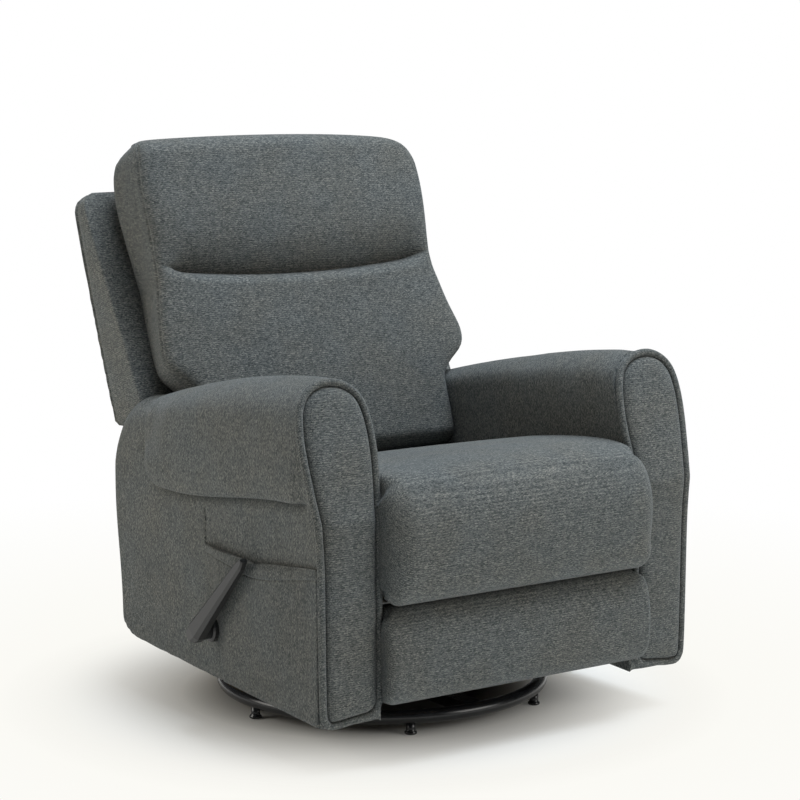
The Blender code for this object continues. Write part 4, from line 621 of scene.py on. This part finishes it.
def pillow_edge(y, z):
    """How far a point of the side lies inside the pillow's sewn edge."""
    seam = SEAM_FRONT_Z + (SEAM_REAR_Z - SEAM_FRONT_Z) * ease((y - CREST_Y) / SEAM_RUN)
    ahead = PILLOW_REAR + PILLOW_LEAN * (z - PILLOW_LEAN_Z) - y
    below, behind = np.maximum(PILLOW_CORNER - z + seam, 0), np.maximum(PILLOW_CORNER - ahead, 0)
    return PILLOW_CORNER - np.hypot(below, behind)


def pillow_swell(y, z):
    """How far the pillow stands out of the flat side and hangs over its pulled-in seam."""
    inside = pillow_edge(y, z)
    free = 1 - ease((FRONT_Y - y) / FRONT_RUN)
    full = np.clip(inside / (PILLOW_ROLL + FRONT_ROLL * (1 - free)), 0, 1)
    swell = (FRONT_SWELL + (PILLOW_SWELL - FRONT_SWELL) * free) * np.sqrt(1 - (1 - full) ** 2)
    high_up = ease((z - REAR_FADE_Z) / REAR_FADE_RISE)
    fade = 1 - REAR_FADE * high_up * ease((y - REAR_FADE_Y) / REAR_FADE_RUN)
    pull = np.where(inside > 0, inside / SEAM_ABOVE, inside / SEAM_BELOW)
    lip = LIP * np.exp(-((inside - LIP_MIDDLE) / LIP_WIDTH) ** 2) * (inside > 0)
    return (swell - SEAM_PULL * free * np.exp(-pull ** 2)) * fade, lip * free * fade


def pocket_rear(share):
    """Where the pocket's rear seam runs, by share of the way from its foot to its mouth."""
    return POCKET_REAR_BOTTOM + (POCKET_REAR_TOP - POCKET_REAR_BOTTOM) * share


def pocket_seam(ring):
    """How far the side is pulled in along the pocket's rear seam, which runs on up to the pillow."""
    x, y, z = ring.T
    share = (np.minimum(z, GROOVE_BEND) - POCKET_FLOOR) / (POCKET_MOUTH_REAR - POCKET_FLOOR)
    beside = np.exp(-((y - pocket_rear(share) - GROOVE_OFF) / GROOVE_WIDTH) ** 2)
    on_side = ease((x - ARM_OUTSIDE) / 0.01)
    ends = ease((z - GROOVE_LOW) / 0.008) * (1 - ease((z - GROOVE_TOP) / 0.025))
    return GROOVE * beside * on_side * ends


arm_levels = np.r_[
    np.linspace(COVER_FRONT, -0.096, 56), np.linspace(-0.094, -0.014, 46),
    np.linspace(-0.010, ARM_REAR - 0.034, 50), np.linspace(ARM_REAR - 0.032, ARM_REAR - 0.004, 13),
    np.linspace(ARM_REAR - 0.003, ARM_REAR, 6),
]
arm_rings = []
for y in arm_levels:
    section = arm_section(y)
    x, z = section[:, 0], section[:, 1]
    outer = ease((x - OUTER_X) / OUTER_RUN)
    share = 1 - (y - ARM_FRONT) / (ARM_REAR - ARM_FRONT)
    rake = RAKE * np.maximum(z - RAKE_START, 0) / (CREST_Z - RAKE_START) * share ** 2
    rake -= HEEL_TUCK * ease((HEEL_Z - z) / HEEL_RUN) * max(1 - share, 0.0) ** 4
    ring = np.stack([x, y + rake, z], axis=1)
    swell, lip = pillow_swell(ring[:, 1], z)
    ring[:, 0] += outer * swell
    ring[:, 2] -= outer * lip
    taper = TAPER * max((y - TAPER_Y) / TAPER_RUN, 0.0) ** 2
    ring[:, 0] -= outer * taper * ease((z - ARM_WAIST) / TAPER_RISE)
    ring[:, 0] -= outer * REAR_EDGE * max((y - ARM_REAR + REAR_EDGE_RUN) / REAR_EDGE_RUN, 0.0) ** 2
    rumple = RUMPLE * ripple(ring, RUMPLE_SIZE, RUMPLE_SEED)
    ring[:, 0] += outer * rumple * ease((z - RUMPLE_Z) / RUMPLE_RISE)
    arm_rings.append(ring)

for side, way in SIDES:
    sag = ARM_SAG[side] * np.sin(np.pi * np.linspace(0, 1, len(arm_rings)))
    handed = []
    for ring, drop in zip(arm_rings, sag):
        shaped = ring.copy()
        shaped[:, 2] -= drop * ease((ring[:, 2] - SAG_Z) / SAG_RISE)
        if side == "right":
            shaped[:, 0] -= pocket_seam(ring)
        handed.append(shaped * (way, 1, 1))
    arm = skin("arm_cover_" + side, handed, arm_cloth)
    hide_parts("arm_" + side)
    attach(arm, "chair")


# Arm front panels and welts: a padded fabric face in each arm end, edged with a covered cord.
# The welt is sewn all round the panel, and the panel swells out of the seam beside it.

WELT_RADIUS, WELT_SUNK, WELT_FORWARD, WELT_STEPS = 0.0063, 0.0018, 0.0150, 10
PANEL_POINTS, PANEL_LAP = 220, 0.0012
# the panel is fuller towards its outer side and its top
FLARE, FLARE_X, FLARE_X_RUN, FLARE_Z, FLARE_Z_RUN = 0.0042, 0.29, 0.06, 0.32, 0.14
# how far the panel stands forward: under the welt, beside it, and its swell in the middle
PANEL_UNDER, PANEL_SEAM, PANEL_SWELL = 0.0090, 0.0135, 0.0125
PANEL_RUMPLE, PANEL_RUMPLE_SIZE, PANEL_SEED = 0.0012, 0.11, 9
# share of the way from the seam to the middle line at each row of points
PANEL_SHARES = (0.0, 0.012, 0.04, 0.09, 0.16, 0.26, 0.38, 0.52, 0.66, 0.80, 0.92, 1.0)
# the left panel's edge from the front, x and height, from the middle of its foot round the outer side
PANEL_EDGE = (
    (0.3265, 0.0800), (0.3480, 0.0775), (0.3680, 0.0785), (0.3800, 0.0900), (0.3835, 0.1120),
    (0.3850, 0.1900), (0.3862, 0.3160), (0.3880, 0.4000), (0.3920, 0.4550), (0.3962, 0.5070),
    (0.3970, 0.5460), (0.3930, 0.5800), (0.3840, 0.6030), (0.3680, 0.6190), (0.3450, 0.6280),
    (0.3180, 0.6300), (0.2960, 0.6245), (0.2755, 0.6085), (0.2635, 0.5820), (0.2583, 0.5450),
    (0.2580, 0.5050), (0.2625, 0.4550), (0.2668, 0.4090), (0.2668, 0.2500), (0.2668, 0.1250),
    (0.2705, 0.1000), (0.2870, 0.0850),
)
PANEL_SPINE_LOW, PANEL_SPINE_TOP = 0.140, 0.568

panel_cloth = chenille("chenille_tweed_fronts", (2.9, 1.2, 1.2), (0, 0, 1))
welt_cloth = chenille("chenille_tweed_welt", (1.8, 1.8, 1.8), (0, 0.6, 0.8))


def front_at(line, forward):
    """Points of the raked arm front along an (x, z) line, some way in front of it."""
    x, z = line.T
    rake = RAKE * np.maximum(z - RAKE_START, 0) / (CREST_Z - RAKE_START)
    return np.stack([x, ARM_FRONT - forward + rake, z], axis=-1)


def drawn_in(line, distance):
    """Move a closed flat line that runs anticlockwise to its inner side."""
    run = np.roll(line, -1, axis=0) - np.roll(line, 1, axis=0)
    run /= np.linalg.norm(run, axis=1)[:, None]
    return line + np.stack([-run[:, 1], run[:, 0]], axis=1) * distance


def tube(path, radius, sides):
    """Rings of a round cord round a closed path."""
    ahead = np.roll(path, -1, axis=0) - np.roll(path, 1, axis=0)
    ahead /= np.linalg.norm(ahead, axis=1)[:, None]
    across = np.cross(ahead, (0.0, 1.0, 0.0))
    across /= np.linalg.norm(across, axis=1)[:, None]
    other = np.cross(ahead, across)
    angles = np.linspace(0, 2 * np.pi, sides, endpoint=False)
    rings = [path + radius * (np.cos(a) * across + np.sin(a) * other) for a in angles]
    return np.stack(rings, axis=1)


panel_edge = smooth_line(PANEL_EDGE, PANEL_POINTS, closed=True)
flare = FLARE * ease((panel_edge[:, 0] - FLARE_X) / FLARE_X_RUN)
flare = flare * ease((panel_edge[:, 1] - FLARE_Z) / FLARE_Z_RUN)
panel_edge = drawn_in(panel_edge, -flare[:, None])
mirror_edge = np.roll(panel_edge[::-1], 1, axis=0)
panel_spine = 0.5 * (panel_edge + mirror_edge)
panel_spine[:, 1] = np.clip(panel_spine[:, 1], PANEL_SPINE_LOW, PANEL_SPINE_TOP)
welt_line = drawn_in(panel_edge, WELT_RADIUS - WELT_SUNK)
welt_spine = front_at(welt_line, WELT_FORWARD)
seam_line = drawn_in(panel_edge, 2 * WELT_RADIUS - PANEL_LAP)
# the panel's edge lies under the welt, so that no light comes through between them
panel_rows = [front_at(welt_line, PANEL_UNDER)]
for share in PANEL_SHARES:
    swell = PANEL_SWELL * np.sqrt(1 - (1 - share) ** 6)
    row = front_at(seam_line + (panel_spine - seam_line) * share, PANEL_SEAM + swell)
    row[:, 1] -= PANEL_RUMPLE * ripple(row, PANEL_RUMPLE_SIZE, PANEL_SEED) * ease(share / 0.1)
    panel_rows.append(row)

for side, way in SIDES:
    handed = [row * (way, 1, 1) for row in panel_rows]
    panel = skin("arm_front_" + side, handed, panel_cloth, (True, False))
    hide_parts("arm_front_panel_" + side)
    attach(panel, "chair")
    cord = tube(welt_spine * (way, 1, 1), WELT_RADIUS, WELT_STEPS)
    welt = skin("arm_welt_cord_" + side, list(cord) + [cord[0]], welt_cloth, (False, False))
    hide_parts("arm_welt_" + side)
    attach(welt, "chair")


# Side pocket: one piece of the same tweed sewn to the right arm on three sides, with a hemmed mouth.
# The mouth hangs a little open and sags between the rear seam and the front welt.

POCKET_FRONT, POCKET_LIFT = -0.3780, 0.004
POCKET_CLOTH, POCKET_OFF = 0.0028, 0.0012
# how far the mouth hangs open, and the shares of the width and height over which it opens
GAPE, GAPE_REAR, GAPE_FRONT, GAPE_RISE = 0.0095, 0.16, 0.45, 0.5
# the hem as a share of the height, its thickness and the depth of its stitching
HEM_SHARE, HEM_ROWS, HEM_RUN, HEM_THICK = 0.932, 0.025, 0.012, 0.0012
STITCH, STITCH_WIDTH = 0.0014, 0.007
# share of the way from the rear seam to the front welt, and the mouth's height there
POCKET_MOUTH = smooth_line([
    (0.0, 0.3240), (0.10, 0.3232), (0.20, 0.3208), (0.33, 0.3145), (0.42, 0.3105), (0.52, 0.3115),
    (0.64, 0.3170), (0.82, 0.3290), (1.0, 0.3405),
], 120)

# painted shade: the pocket's copy of the tweed is made a tenth darker than the arms'
pocket_cloth = chenille("chenille_tweed_pocket", (1.7, 1.2, 3.0), (0, 1, 0), 0.90)


def pocket_sheet(thick):
    """One face of the pocket's cloth as rows of points, from its foot to its mouth."""
    hem_rows = np.linspace(HEM_SHARE - HEM_ROWS, HEM_SHARE + HEM_ROWS, 15)
    rows = np.sort(np.r_[np.linspace(0, 1, 44), hem_rows])
    column, row = np.meshgrid(np.linspace(0, 1, 72), rows)
    mouth = np.interp(column, POCKET_MOUTH[:, 0], POCKET_MOUTH[:, 1])
    rear = pocket_rear(row)
    y = rear + (POCKET_FRONT - rear) * column
    low = arm_low(y) + POCKET_LIFT
    z = low + (mouth - low) * row
    across = np.minimum(column / GAPE_REAR, (1 - column) / GAPE_FRONT)
    gape = GAPE * ease(across) * ease(row / GAPE_RISE)
    hem = HEM_THICK * ease((row - HEM_SHARE) / HEM_RUN)
    hem = hem - STITCH * np.exp(-((row - HEM_SHARE) / STITCH_WIDTH) ** 2)
    x = -(ARM_SIDE + POCKET_OFF + gape + hem + thick)
    return np.stack([x, y, z], axis=-1)


face, lining = pocket_sheet(POCKET_CLOTH), pocket_sheet(0.0)
rows = [np.vstack([face[r], lining[r][::-1]]) for r in range(len(face))]
pocket = skin("side_pocket_cloth", rows, pocket_cloth)
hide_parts("side_pocket")
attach(pocket, "chair")


# Footrest lever and its escutcheon: black ABS, injection moulded with a fine spark-eroded grain.
# The handle is a flat tapered paddle with a soft raised rim, on a round hub.

GRIT_SIZE, GRIT_DEPTH, WEAR_SIZE = 0.0012, 0.0002, 0.040

abs_black, tree, shader, where = new_material("black_abs")
grit = add_noise(tree, where, GRIT_SIZE, 2.0)
wear = add_noise(tree, where, WEAR_SIZE, 3.0)
set_node(tree, shader, [("IOR", 1.54)], [
    ("Base Color", add_ramp(tree, wear, ((0.0, linear("#1b1b1b")), (1.0, linear("#2c2c2b"))))),
    ("Roughness", add_range(tree, wear, 0.30, 0.44)),
    ("Normal", add_bump(tree, grit, 0.15, GRIT_DEPTH)),
])
finish_nodes(abs_black, "lever_handle", "lever_escutcheon")


# Seat cushion: a foam and fibre seat that runs over the front edge in a waterfall between the arms.
# The nose stands out in front of the arms and swells a little sideways there.

SEAT_HALF, NOSE_SWELL = 0.2612, 0.0145
ARM_FACE_Y, NOSE_RUN = -0.3935, 0.016
# how round the sides are: behind, along the nose and at its foot
SEAT_EDGES, NOSE_FOOT_Z = (0.010, 0.040, 0.026), 0.325
EDGE_Y, EDGE_RUN, FOOT_RUN = -0.375, 0.035, 0.045
SEAT_CROWN, SEAT_CROWN_Z, CROWN_RUN = 0.003, 0.40, 0.03
PAD_STATIONS = 81
# side view, y and height, from the rear along the underside to the nose and back over the top
SEAT_PROFILE = smooth_line([
    (0.170, 0.366), (0.150, 0.3575), (0.0, 0.3565), (-0.20, 0.3565), (-0.352, 0.3560),
    (-0.364, 0.350), (-0.367, 0.310), (-0.375, 0.276), (-0.394, 0.268), (-0.418, 0.272),
    (-0.436, 0.295), (-0.444, 0.338), (-0.446, 0.383), (-0.439, 0.419), (-0.420, 0.453),
    (-0.389, 0.4735), (-0.336, 0.482), (-0.246, 0.4775), (-0.120, 0.461), (0.0, 0.437),
    (0.090, 0.418), (0.152, 0.404), (0.170, 0.386),
], 210, closed=True)

# painted light: the seat's copy of the tweed is made 4% lighter than the arms'
seat_cloth = chenille("chenille_tweed_seat", (2.9, 1.2, 1.2), (0, -0.9, 0.9), 1.04)


def pad_rings(profile, half, swell, edges, foot_z, crown, crown_z):
    """Carry a clockwise side profile across the chair, rounded off at the sides and crowned between."""
    nose = ease((ARM_FACE_Y - profile[:, 0]) / NOSE_RUN)
    edge = edges[0] + (edges[1] - edges[0]) * ease((EDGE_Y - profile[:, 0]) / EDGE_RUN)
    edge = edge + (edges[2] - edge) * ease((foot_z - profile[:, 1]) / FOOT_RUN) * nose
    rings = []
    for u in np.linspace(-1, 1, PAD_STATIONS):
        share = np.sin(u * np.pi / 2)
        reach = np.clip((abs(share) * half - half + edge) / edge, 0.0, 0.9995)
        inset = edge * (1 - np.sqrt(1 - reach ** 2))
        line = drawn_in(profile, -inset[:, None])
        lift = crown * (1 - share ** 2) * ease((profile[:, 1] - crown_z) / CROWN_RUN)
        rings.append(np.stack([share * (half + swell * nose), line[:, 0], line[:, 1] + lift], axis=1))
    return rings


seat_rings = pad_rings(
    SEAT_PROFILE, SEAT_HALF, NOSE_SWELL, SEAT_EDGES, NOSE_FOOT_Z, SEAT_CROWN, SEAT_CROWN_Z
)
seat = skin("seat_pad", seat_rings, seat_cloth)
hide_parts("seat_cushion")
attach(seat, "chair")


# Footrest pad: foam on the footrest board, wrapped in tweed and stapled behind.
# Folded, it closes the front of the chair under the seat nose.

FOOT_HALF, FOOT_SWELL, FOOT_EDGE = 0.2628, 0.0135, 0.014
FOOT_PROFILE = smooth_line([
    (-0.3370, 0.246), (-0.3370, 0.180), (-0.3370, 0.112), (-0.353, 0.1015), (-0.380, 0.100),
    (-0.405, 0.106), (-0.421, 0.124), (-0.427, 0.160), (-0.426, 0.200), (-0.418, 0.235),
    (-0.403, 0.256), (-0.382, 0.2640), (-0.356, 0.261),
], 150, closed=True)

foot_cloth = chenille("chenille_tweed_footrest", (2.9, 1.2, 1.2), (0, -0.4, 1))
foot_rings = pad_rings(FOOT_PROFILE, FOOT_HALF, FOOT_SWELL, (FOOT_EDGE,) * 3, 0.0, 0.0, 1.0)
foot = skin("footrest_cushion", foot_rings, foot_cloth)
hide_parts("footrest_pad")
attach(foot, "footrest")


# Back shell: the upholstered outside of the reclining back, deep at the arms and thin at the top.
# The same tweed is pulled round a wooden frame, and its wings reach forward beside the cushion.

HINGE_Y, HINGE_Z = 0.215, 0.330
LEAN = np.radians(20.8)
SHELL_HALF, SHELL_NARROW, SHELL_BOW = 0.347, 0.258, 0.002
SHELL_BOTTOM, SHELL_TOP, SHELL_STEP = -0.030, 0.622, 0.179
SHELL_FRONT, SHELL_REAR, FRAME_COVER = 0.0203, 0.082, 0.0035
WING_REACH, WING_TOP, WING_WIDTH = 0.054, 0.029, 0.075
SHELL_TURN, SHELL_THIN, SHELL_POINTS = 0.016, 0.010, 240
# the rounded top edge: how far below the top, how far drawn in at the sides, how far thinned
SHELL_RIM = (
    (0.030, 0.001, 0.0), (0.020, 0.004, 0.001), (0.012, 0.009, 0.002), (0.005, 0.017, 0.005),
    (0.001, 0.024, 0.008), (0.0, 0.030, 0.0105),
)

# painted light: this copy of the tweed, for the back shell, rear panel and flap, is made 12% lighter
shell_cloth = chenille("chenille_tweed_back_shell", (2.9, 2.9, 1.2), (0, 0.36, 0.93), 1.12)


def leaned(points):
    """From the back's own x, depth and height about the hinge to the chair."""
    x, d, v = points[..., 0], points[..., 1], points[..., 2]
    y = HINGE_Y + d * np.cos(LEAN) + v * np.sin(LEAN)
    z = HINGE_Z - d * np.sin(LEAN) + v * np.cos(LEAN)
    return np.stack([x, y, z], axis=-1)


def shell_section(v, half, squeeze, wing):
    """The shell cut across at one height, with or without its wings, thinned all round by squeeze."""
    rear, front = SHELL_REAR - squeeze, SHELL_FRONT + squeeze
    outer = half - squeeze
    step = (v - SHELL_STEP) / (SHELL_TOP - SHELL_STEP)
    edge = SHELL_FRONT - WING_REACH + (WING_REACH + WING_TOP) * step + squeeze
    edge = min(edge, rear - SHELL_THIN) if wing else front
    turn = min(SHELL_TURN, 0.4 * (rear - edge))
    inner = half - WING_WIDTH if wing else half - 0.004
    face = front - FRAME_COVER
    half_line = [
        (0.10, face), (inner - 0.030, face), (inner - 0.010, face),
        (inner, face - 0.1 * (face - edge)), (inner + 0.008, edge + 0.1 * turn),
        (outer - 0.45 * turn, edge), (outer - 0.1 * turn, edge + 0.12 * turn),
        (outer, edge + 0.45 * turn), (outer + 0.001, 0.5 * (edge + rear)), (outer, rear - turn),
        (outer - 0.25 * turn, rear - 0.3 * turn), (outer - 0.9 * turn, rear),
        (outer * 0.5, rear + 0.004),
    ]
    line = half_line + [(0.0, rear + 0.005)] + [(-x, d) for x, d in reversed(half_line)] + [(0.0, face)]

    def near_wing(points):
        """Closer points about the wings."""
        return 1 + 5.0 * (np.abs(points[:, 0]) > half - 0.09)

    line = smooth_line(line, SHELL_POINTS, closed=True, dense=near_wing)
    return np.stack([line[:, 0], line[:, 1], np.full(len(line), v)], axis=1)


# height, half width, squeeze and whether there are wings
shell_stations = [
    (SHELL_BOTTOM, SHELL_NARROW, 0.010, False), (SHELL_BOTTOM + 0.006, SHELL_NARROW, 0.002, False),
    (SHELL_BOTTOM + 0.02, SHELL_NARROW, 0.0, False), (0.07, SHELL_NARROW, 0.0, False),
    (SHELL_STEP - 0.016, SHELL_NARROW, 0.0, False), (SHELL_STEP - 0.003, SHELL_NARROW, 0.0, False),
    (SHELL_STEP, SHELL_HALF, 0.010, True), (SHELL_STEP + 0.003, SHELL_HALF, 0.004, True),
    (SHELL_STEP + 0.012, SHELL_HALF, 0.0, True),
]
for share in np.linspace(0.1, 0.9, 24):
    v = SHELL_STEP + (SHELL_TOP - SHELL_STEP) * share
    shell_stations.append((v, SHELL_HALF + SHELL_BOW * np.sin(np.pi * share), 0.0, True))
for drop, tuck, squeeze in SHELL_RIM:
    shell_stations.append((SHELL_TOP - drop, SHELL_HALF - tuck, squeeze, True))
shell_rings = [leaned(shell_section(*station)) for station in shell_stations]
shell = skin("back_cover", shell_rings, shell_cloth)
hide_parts("back_shell")
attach(shell, "back")


# Back cushion: one long fibre-filled pillow with a sewn channel that parts the headrest from the back.
# The headrest hangs over the channel, and a seam down each side joins the front to the side gusset.

CUSHION_LOW, CUSHION_TOP, CUSHION_POINTS = 0.045, 0.688, 300
CUSHION_FRONT, CUSHION_REAR = -0.118, 0.020
# the rounded ends: their heights, and how far the rear is thinned there
TOP_ROUND, TOP_THIN, LOW_ROUND, LOW_THIN = 0.055, 0.030, 0.035, 0.015
# the front's swells: at the lower back, at the headrest, and the headrest's lean
LUMBAR, LUMBAR_TOP = 0.009, 0.40
HEAD_SWELL, HEAD_MIDDLE, HEAD_SPREAD = 0.007, 0.505, 0.075
HEAD_FORWARD, HEAD_START, HEAD_RUN = 0.014, 0.42, 0.20
# how much narrower the rear is than the front, low down and less so above; square between the arms
TUCK, TUCK_LESS, TUCK_START, TUCK_RUN = 0.093, 0.065, 0.22, 0.38
SQUARE_START, SQUARE_RUN = 0.15, 0.08
GUSSET_DEPTH, GUSSET_WIDTH, GUSSET_START, GUSSET_RUN = 0.0026, 0.0036, 0.24, 0.04
# the left side's bulge over the arm
BULGE, BULGE_MIDDLE, BULGE_SPREAD, BULGE_X, BULGE_RUN = 0.011, 0.262, 0.05, 0.20, 0.10
# how far the top's ends sag on the left and right, and how far its left corner is drawn in
SAG_LEFT, SAG_RIGHT, TOP_CORNER = 0.012, 0.006, 0.015
CORNER_START, CORNER_RUN, CORNER_X = 0.60, 0.08, 0.30
# the channel: its height in the middle and its rise to the ends, its depth and its two sides
CHANNEL_MIDDLE, CHANNEL_RISE, CHANNEL_HALF = 0.409, 0.021, 0.29
CHANNEL_DEPTH, CHANNEL_ABOVE, CHANNEL_BELOW = 0.040, 0.075, 0.034
CHANNEL_END, CHANNEL_END_RUN = 0.235, 0.070
FACE_DEPTH, FACE_RUN = 0.02, 0.05
CUSHION_RUMPLE, CUSHION_RUMPLE_SIZE, CUSHION_SEED = 0.0022, 0.22, 21
# half widths at heights above the hinge: squeezed by the arms, spread over them, less at the channel
CUSHION_WIDTHS = smooth_line([
    (0.045, 0.2625), (0.100, 0.2640), (0.175, 0.2660), (0.205, 0.2850), (0.235, 0.3150),
    (0.265, 0.3220), (0.310, 0.3180), (0.360, 0.3110), (0.405, 0.3030), (0.450, 0.3020),
    (0.550, 0.3060), (0.600, 0.3045), (0.640, 0.2990), (0.668, 0.2870), (0.688, 0.2640),
], 200)

# painted shade: the back cushion's copy of the tweed is made 5% darker
back_cloth = chenille("chenille_tweed_back", (2.9, 4.4, 1.2), (0, 0.36, 0.93), 0.95)


def cushion_section(v):
    """The cushion cut across at one height, with its gussets but without the channel."""
    top = np.clip((v - CUSHION_TOP + TOP_ROUND) / TOP_ROUND, 0, 1)
    low = np.clip((CUSHION_LOW + LOW_ROUND - v) / LOW_ROUND, 0, 1)
    half = np.interp(v, CUSHION_WIDTHS[:, 0], CUSHION_WIDTHS[:, 1])
    rear = CUSHION_REAR - TOP_THIN * (1 - np.sqrt(1 - top ** 2))
    rear = rear - LOW_THIN * (1 - np.sqrt(1 - low ** 2))
    depth = rear - CUSHION_FRONT + LUMBAR * np.sin(np.pi * np.clip(v / LUMBAR_TOP, 0, 1))
    head = HEAD_SWELL * np.exp(-((v - HEAD_MIDDLE) / HEAD_SPREAD) ** 2)
    depth += head + HEAD_FORWARD * ease((v - HEAD_START) / HEAD_RUN)
    depth *= np.sqrt(1 - top ** 2.4) * 0.80 + 0.20
    depth *= np.sqrt(1 - low ** 2.2) * 0.75 + 0.25
    tuck = TUCK - TUCK_LESS * ease((v - TUCK_START) / TUCK_RUN)
    square = 1 - ease((v - SQUARE_START) / SQUARE_RUN)
    # shares of the half width and of the depth, from the middle of the rear to the middle of the front
    line = [
        (0.0, 0.0), (0.60, 0.0), (0.955 - tuck, 0.01), (1.0 - tuck, 0.08), (1.0 - 0.8 * tuck, 0.25),
        (1.0 - 0.47 * tuck, 0.45), (1.0 - 0.17 * tuck, 0.65), (1.0, 0.79),
        (0.992 + 0.006 * square, 0.870), (0.955 + 0.033 * square, 0.930),
        (0.86 + 0.07 * square, 0.965), (0.60, 0.988), (0.30, 0.998),
    ]
    line = line + [(0.0, 1.0)] + [(-a, b) for a, b in reversed(line[1:])]
    line = [(a * half, rear - b * depth) for a, b in line]

    def from_seam(points):
        """Distance from the seam between the front and the gusset."""
        return np.hypot(np.abs(points[:, 0]) - 0.995 * half, points[:, 1] - rear + 0.82 * depth)

    def near_gusset(points):
        """Closer points about that seam."""
        return 1 + 5 * np.exp(-(from_seam(points) / 0.014) ** 2)

    line = smooth_line(line, CUSHION_POINTS, closed=True, dense=near_gusset)
    groove = GUSSET_DEPTH * np.exp(-(from_seam(line) / GUSSET_WIDTH) ** 2)
    groove = groove * ease((v - GUSSET_START) / GUSSET_RUN)
    line[:, 0] -= np.sign(line[:, 0]) * groove
    line[:, 1] += groove
    x = line[:, 0]
    bulge = BULGE * np.exp(-((v - BULGE_MIDDLE) / BULGE_SPREAD) ** 2)
    bulge = bulge * ease((x - BULGE_X) / BULGE_RUN)
    near_top = ease((v - CORNER_START) / CORNER_RUN) * (x / CORNER_X) ** 2
    sag = near_top * np.where(x > 0, SAG_LEFT, SAG_RIGHT)
    corner = TOP_CORNER * near_top * (x > 0)
    return np.stack([x + bulge - corner, line[:, 1], v - sag], axis=1)


# closer rows of points at both ends and about the channel
LOW_END, CHANNEL_FROM, CHANNEL_TO, TOP_END = 0.036, 0.370, 0.470, 0.056
cushion_levels = np.r_[
    CUSHION_LOW + LOW_END * (1 - np.cos(np.linspace(0, np.pi / 2, 9)[:-1])),
    np.linspace(CUSHION_LOW + LOW_END, CHANNEL_FROM, 34)[:-1],
    np.linspace(CHANNEL_FROM, CHANNEL_TO, 44)[:-1],
    np.linspace(CHANNEL_TO, CUSHION_TOP - TOP_END, 18)[:-1],
    CUSHION_TOP - TOP_END * (1 - np.sin(np.linspace(0, np.pi / 2, 14))),
]
cushion_rings = []
for v in cushion_levels:
    ring = cushion_section(v)
    x = ring[:, 0]
    channel = CHANNEL_MIDDLE + CHANNEL_RISE * (x / CHANNEL_HALF) ** 2
    above = np.clip(np.maximum(v - channel, 0) / CHANNEL_ABOVE, 0, 1)
    below = np.clip(np.maximum(channel - v, 0) / CHANNEL_BELOW, 0, 1)
    head = np.where(v >= channel, 1 - np.sqrt(1 - (1 - above) ** 2), 0)
    pad = np.where(v < channel, (1 - below) ** 2.4, 0)
    between = 1 - ease((np.abs(x) - CHANNEL_END) / CHANNEL_END_RUN)
    dip = CHANNEL_DEPTH * np.maximum(head, pad) * between
    front = ease((-ring[:, 1] - FACE_DEPTH) / FACE_RUN)
    ring[:, 1] += dip * front
    ring[:, 1] -= front * CUSHION_RUMPLE * ripple(ring, CUSHION_RUMPLE_SIZE, CUSHION_SEED)
    cushion_rings.append(leaned(ring))
cushion = skin("back_pillow", cushion_rings, back_cloth)
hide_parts("back_cushion")
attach(cushion, "back")


# Rear panel: tweed over wadding and card, closing the chair behind the mechanism between the arms.
# It is stapled along its edges, so the face swells a little in the middle.

EDGE_STEPS = 24
# share of the panel's thickness from its inner face, and how far the outline is drawn in there
REAR_ROWS = ((0.0, 0.004), (0.0, 0.0), (0.45, 0.0), (0.75, 0.003), (0.92, 0.010), (1.0, 0.022))

low, high = (np.array(corner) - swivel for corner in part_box("rear_panel"))
rear_rings = []
for share, inset in REAR_ROWS:
    y = low[1] + (high[1] - low[1]) * share
    corners = [
        (low[0] + inset, low[2] + inset), (high[0] - inset, low[2] + inset),
        (high[0] - inset, high[2] - inset), (low[0] + inset, high[2] - inset),
    ]
    line = []
    for (ax, az), (bx, bz) in zip(corners, corners[1:] + corners[:1]):
        steps = np.linspace(0, 1, EDGE_STEPS, endpoint=False)
        line += [(ax + (bx - ax) * t, y, az + (bz - az) * t) for t in steps]
    rear_rings.append(np.array(line))
rear = skin("rear_cover_panel", rear_rings, shell_cloth)
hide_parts("rear_panel")
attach(rear, "chair")


# Rear flap: a strip of the same tweed, sewn under the back shell and stapled to the rear panel's top.
# It closes the gap behind the hinge; on the chair it folds as the back reclines, but here it is drawn
# as it hangs with the back at rest.

FLAP_HALF, FLAP_CLOTH, FLAP_FULLNESS = 0.2565, 0.0024, 0.004
FLAP_ROWS, FLAP_STEPS, FLAP_WAVES = 12, 60, 60
FLAP_LAP, FLAP_TUCK, FLAP_RISE = 0.010, 0.012, 0.014

flap_low = np.array((0.5 * (low[1] + high[1]), high[2] - FLAP_LAP))
flap_high = leaned(np.array((0.0, SHELL_REAR - FLAP_TUCK, SHELL_BOTTOM + FLAP_RISE)))[1:]
across = np.linspace(-FLAP_HALF, FLAP_HALF, FLAP_STEPS)
flap_rows = []
for share in np.linspace(0, 1, FLAP_ROWS):
    y, z = flap_low + (flap_high - flap_low) * share
    full = y + FLAP_FULLNESS * np.sin(np.pi * share) * (1 + 0.3 * np.sin(across * FLAP_WAVES))
    outside = np.stack([across, full + FLAP_CLOTH, np.full(FLAP_STEPS, z)], axis=1)
    inside = np.stack([across, full, np.full(FLAP_STEPS, z)], axis=1)
    flap_rows.append(np.vstack([outside, inside[::-1]]))
flap = skin("rear_flap", flap_rows, shell_cloth)
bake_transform(flap)
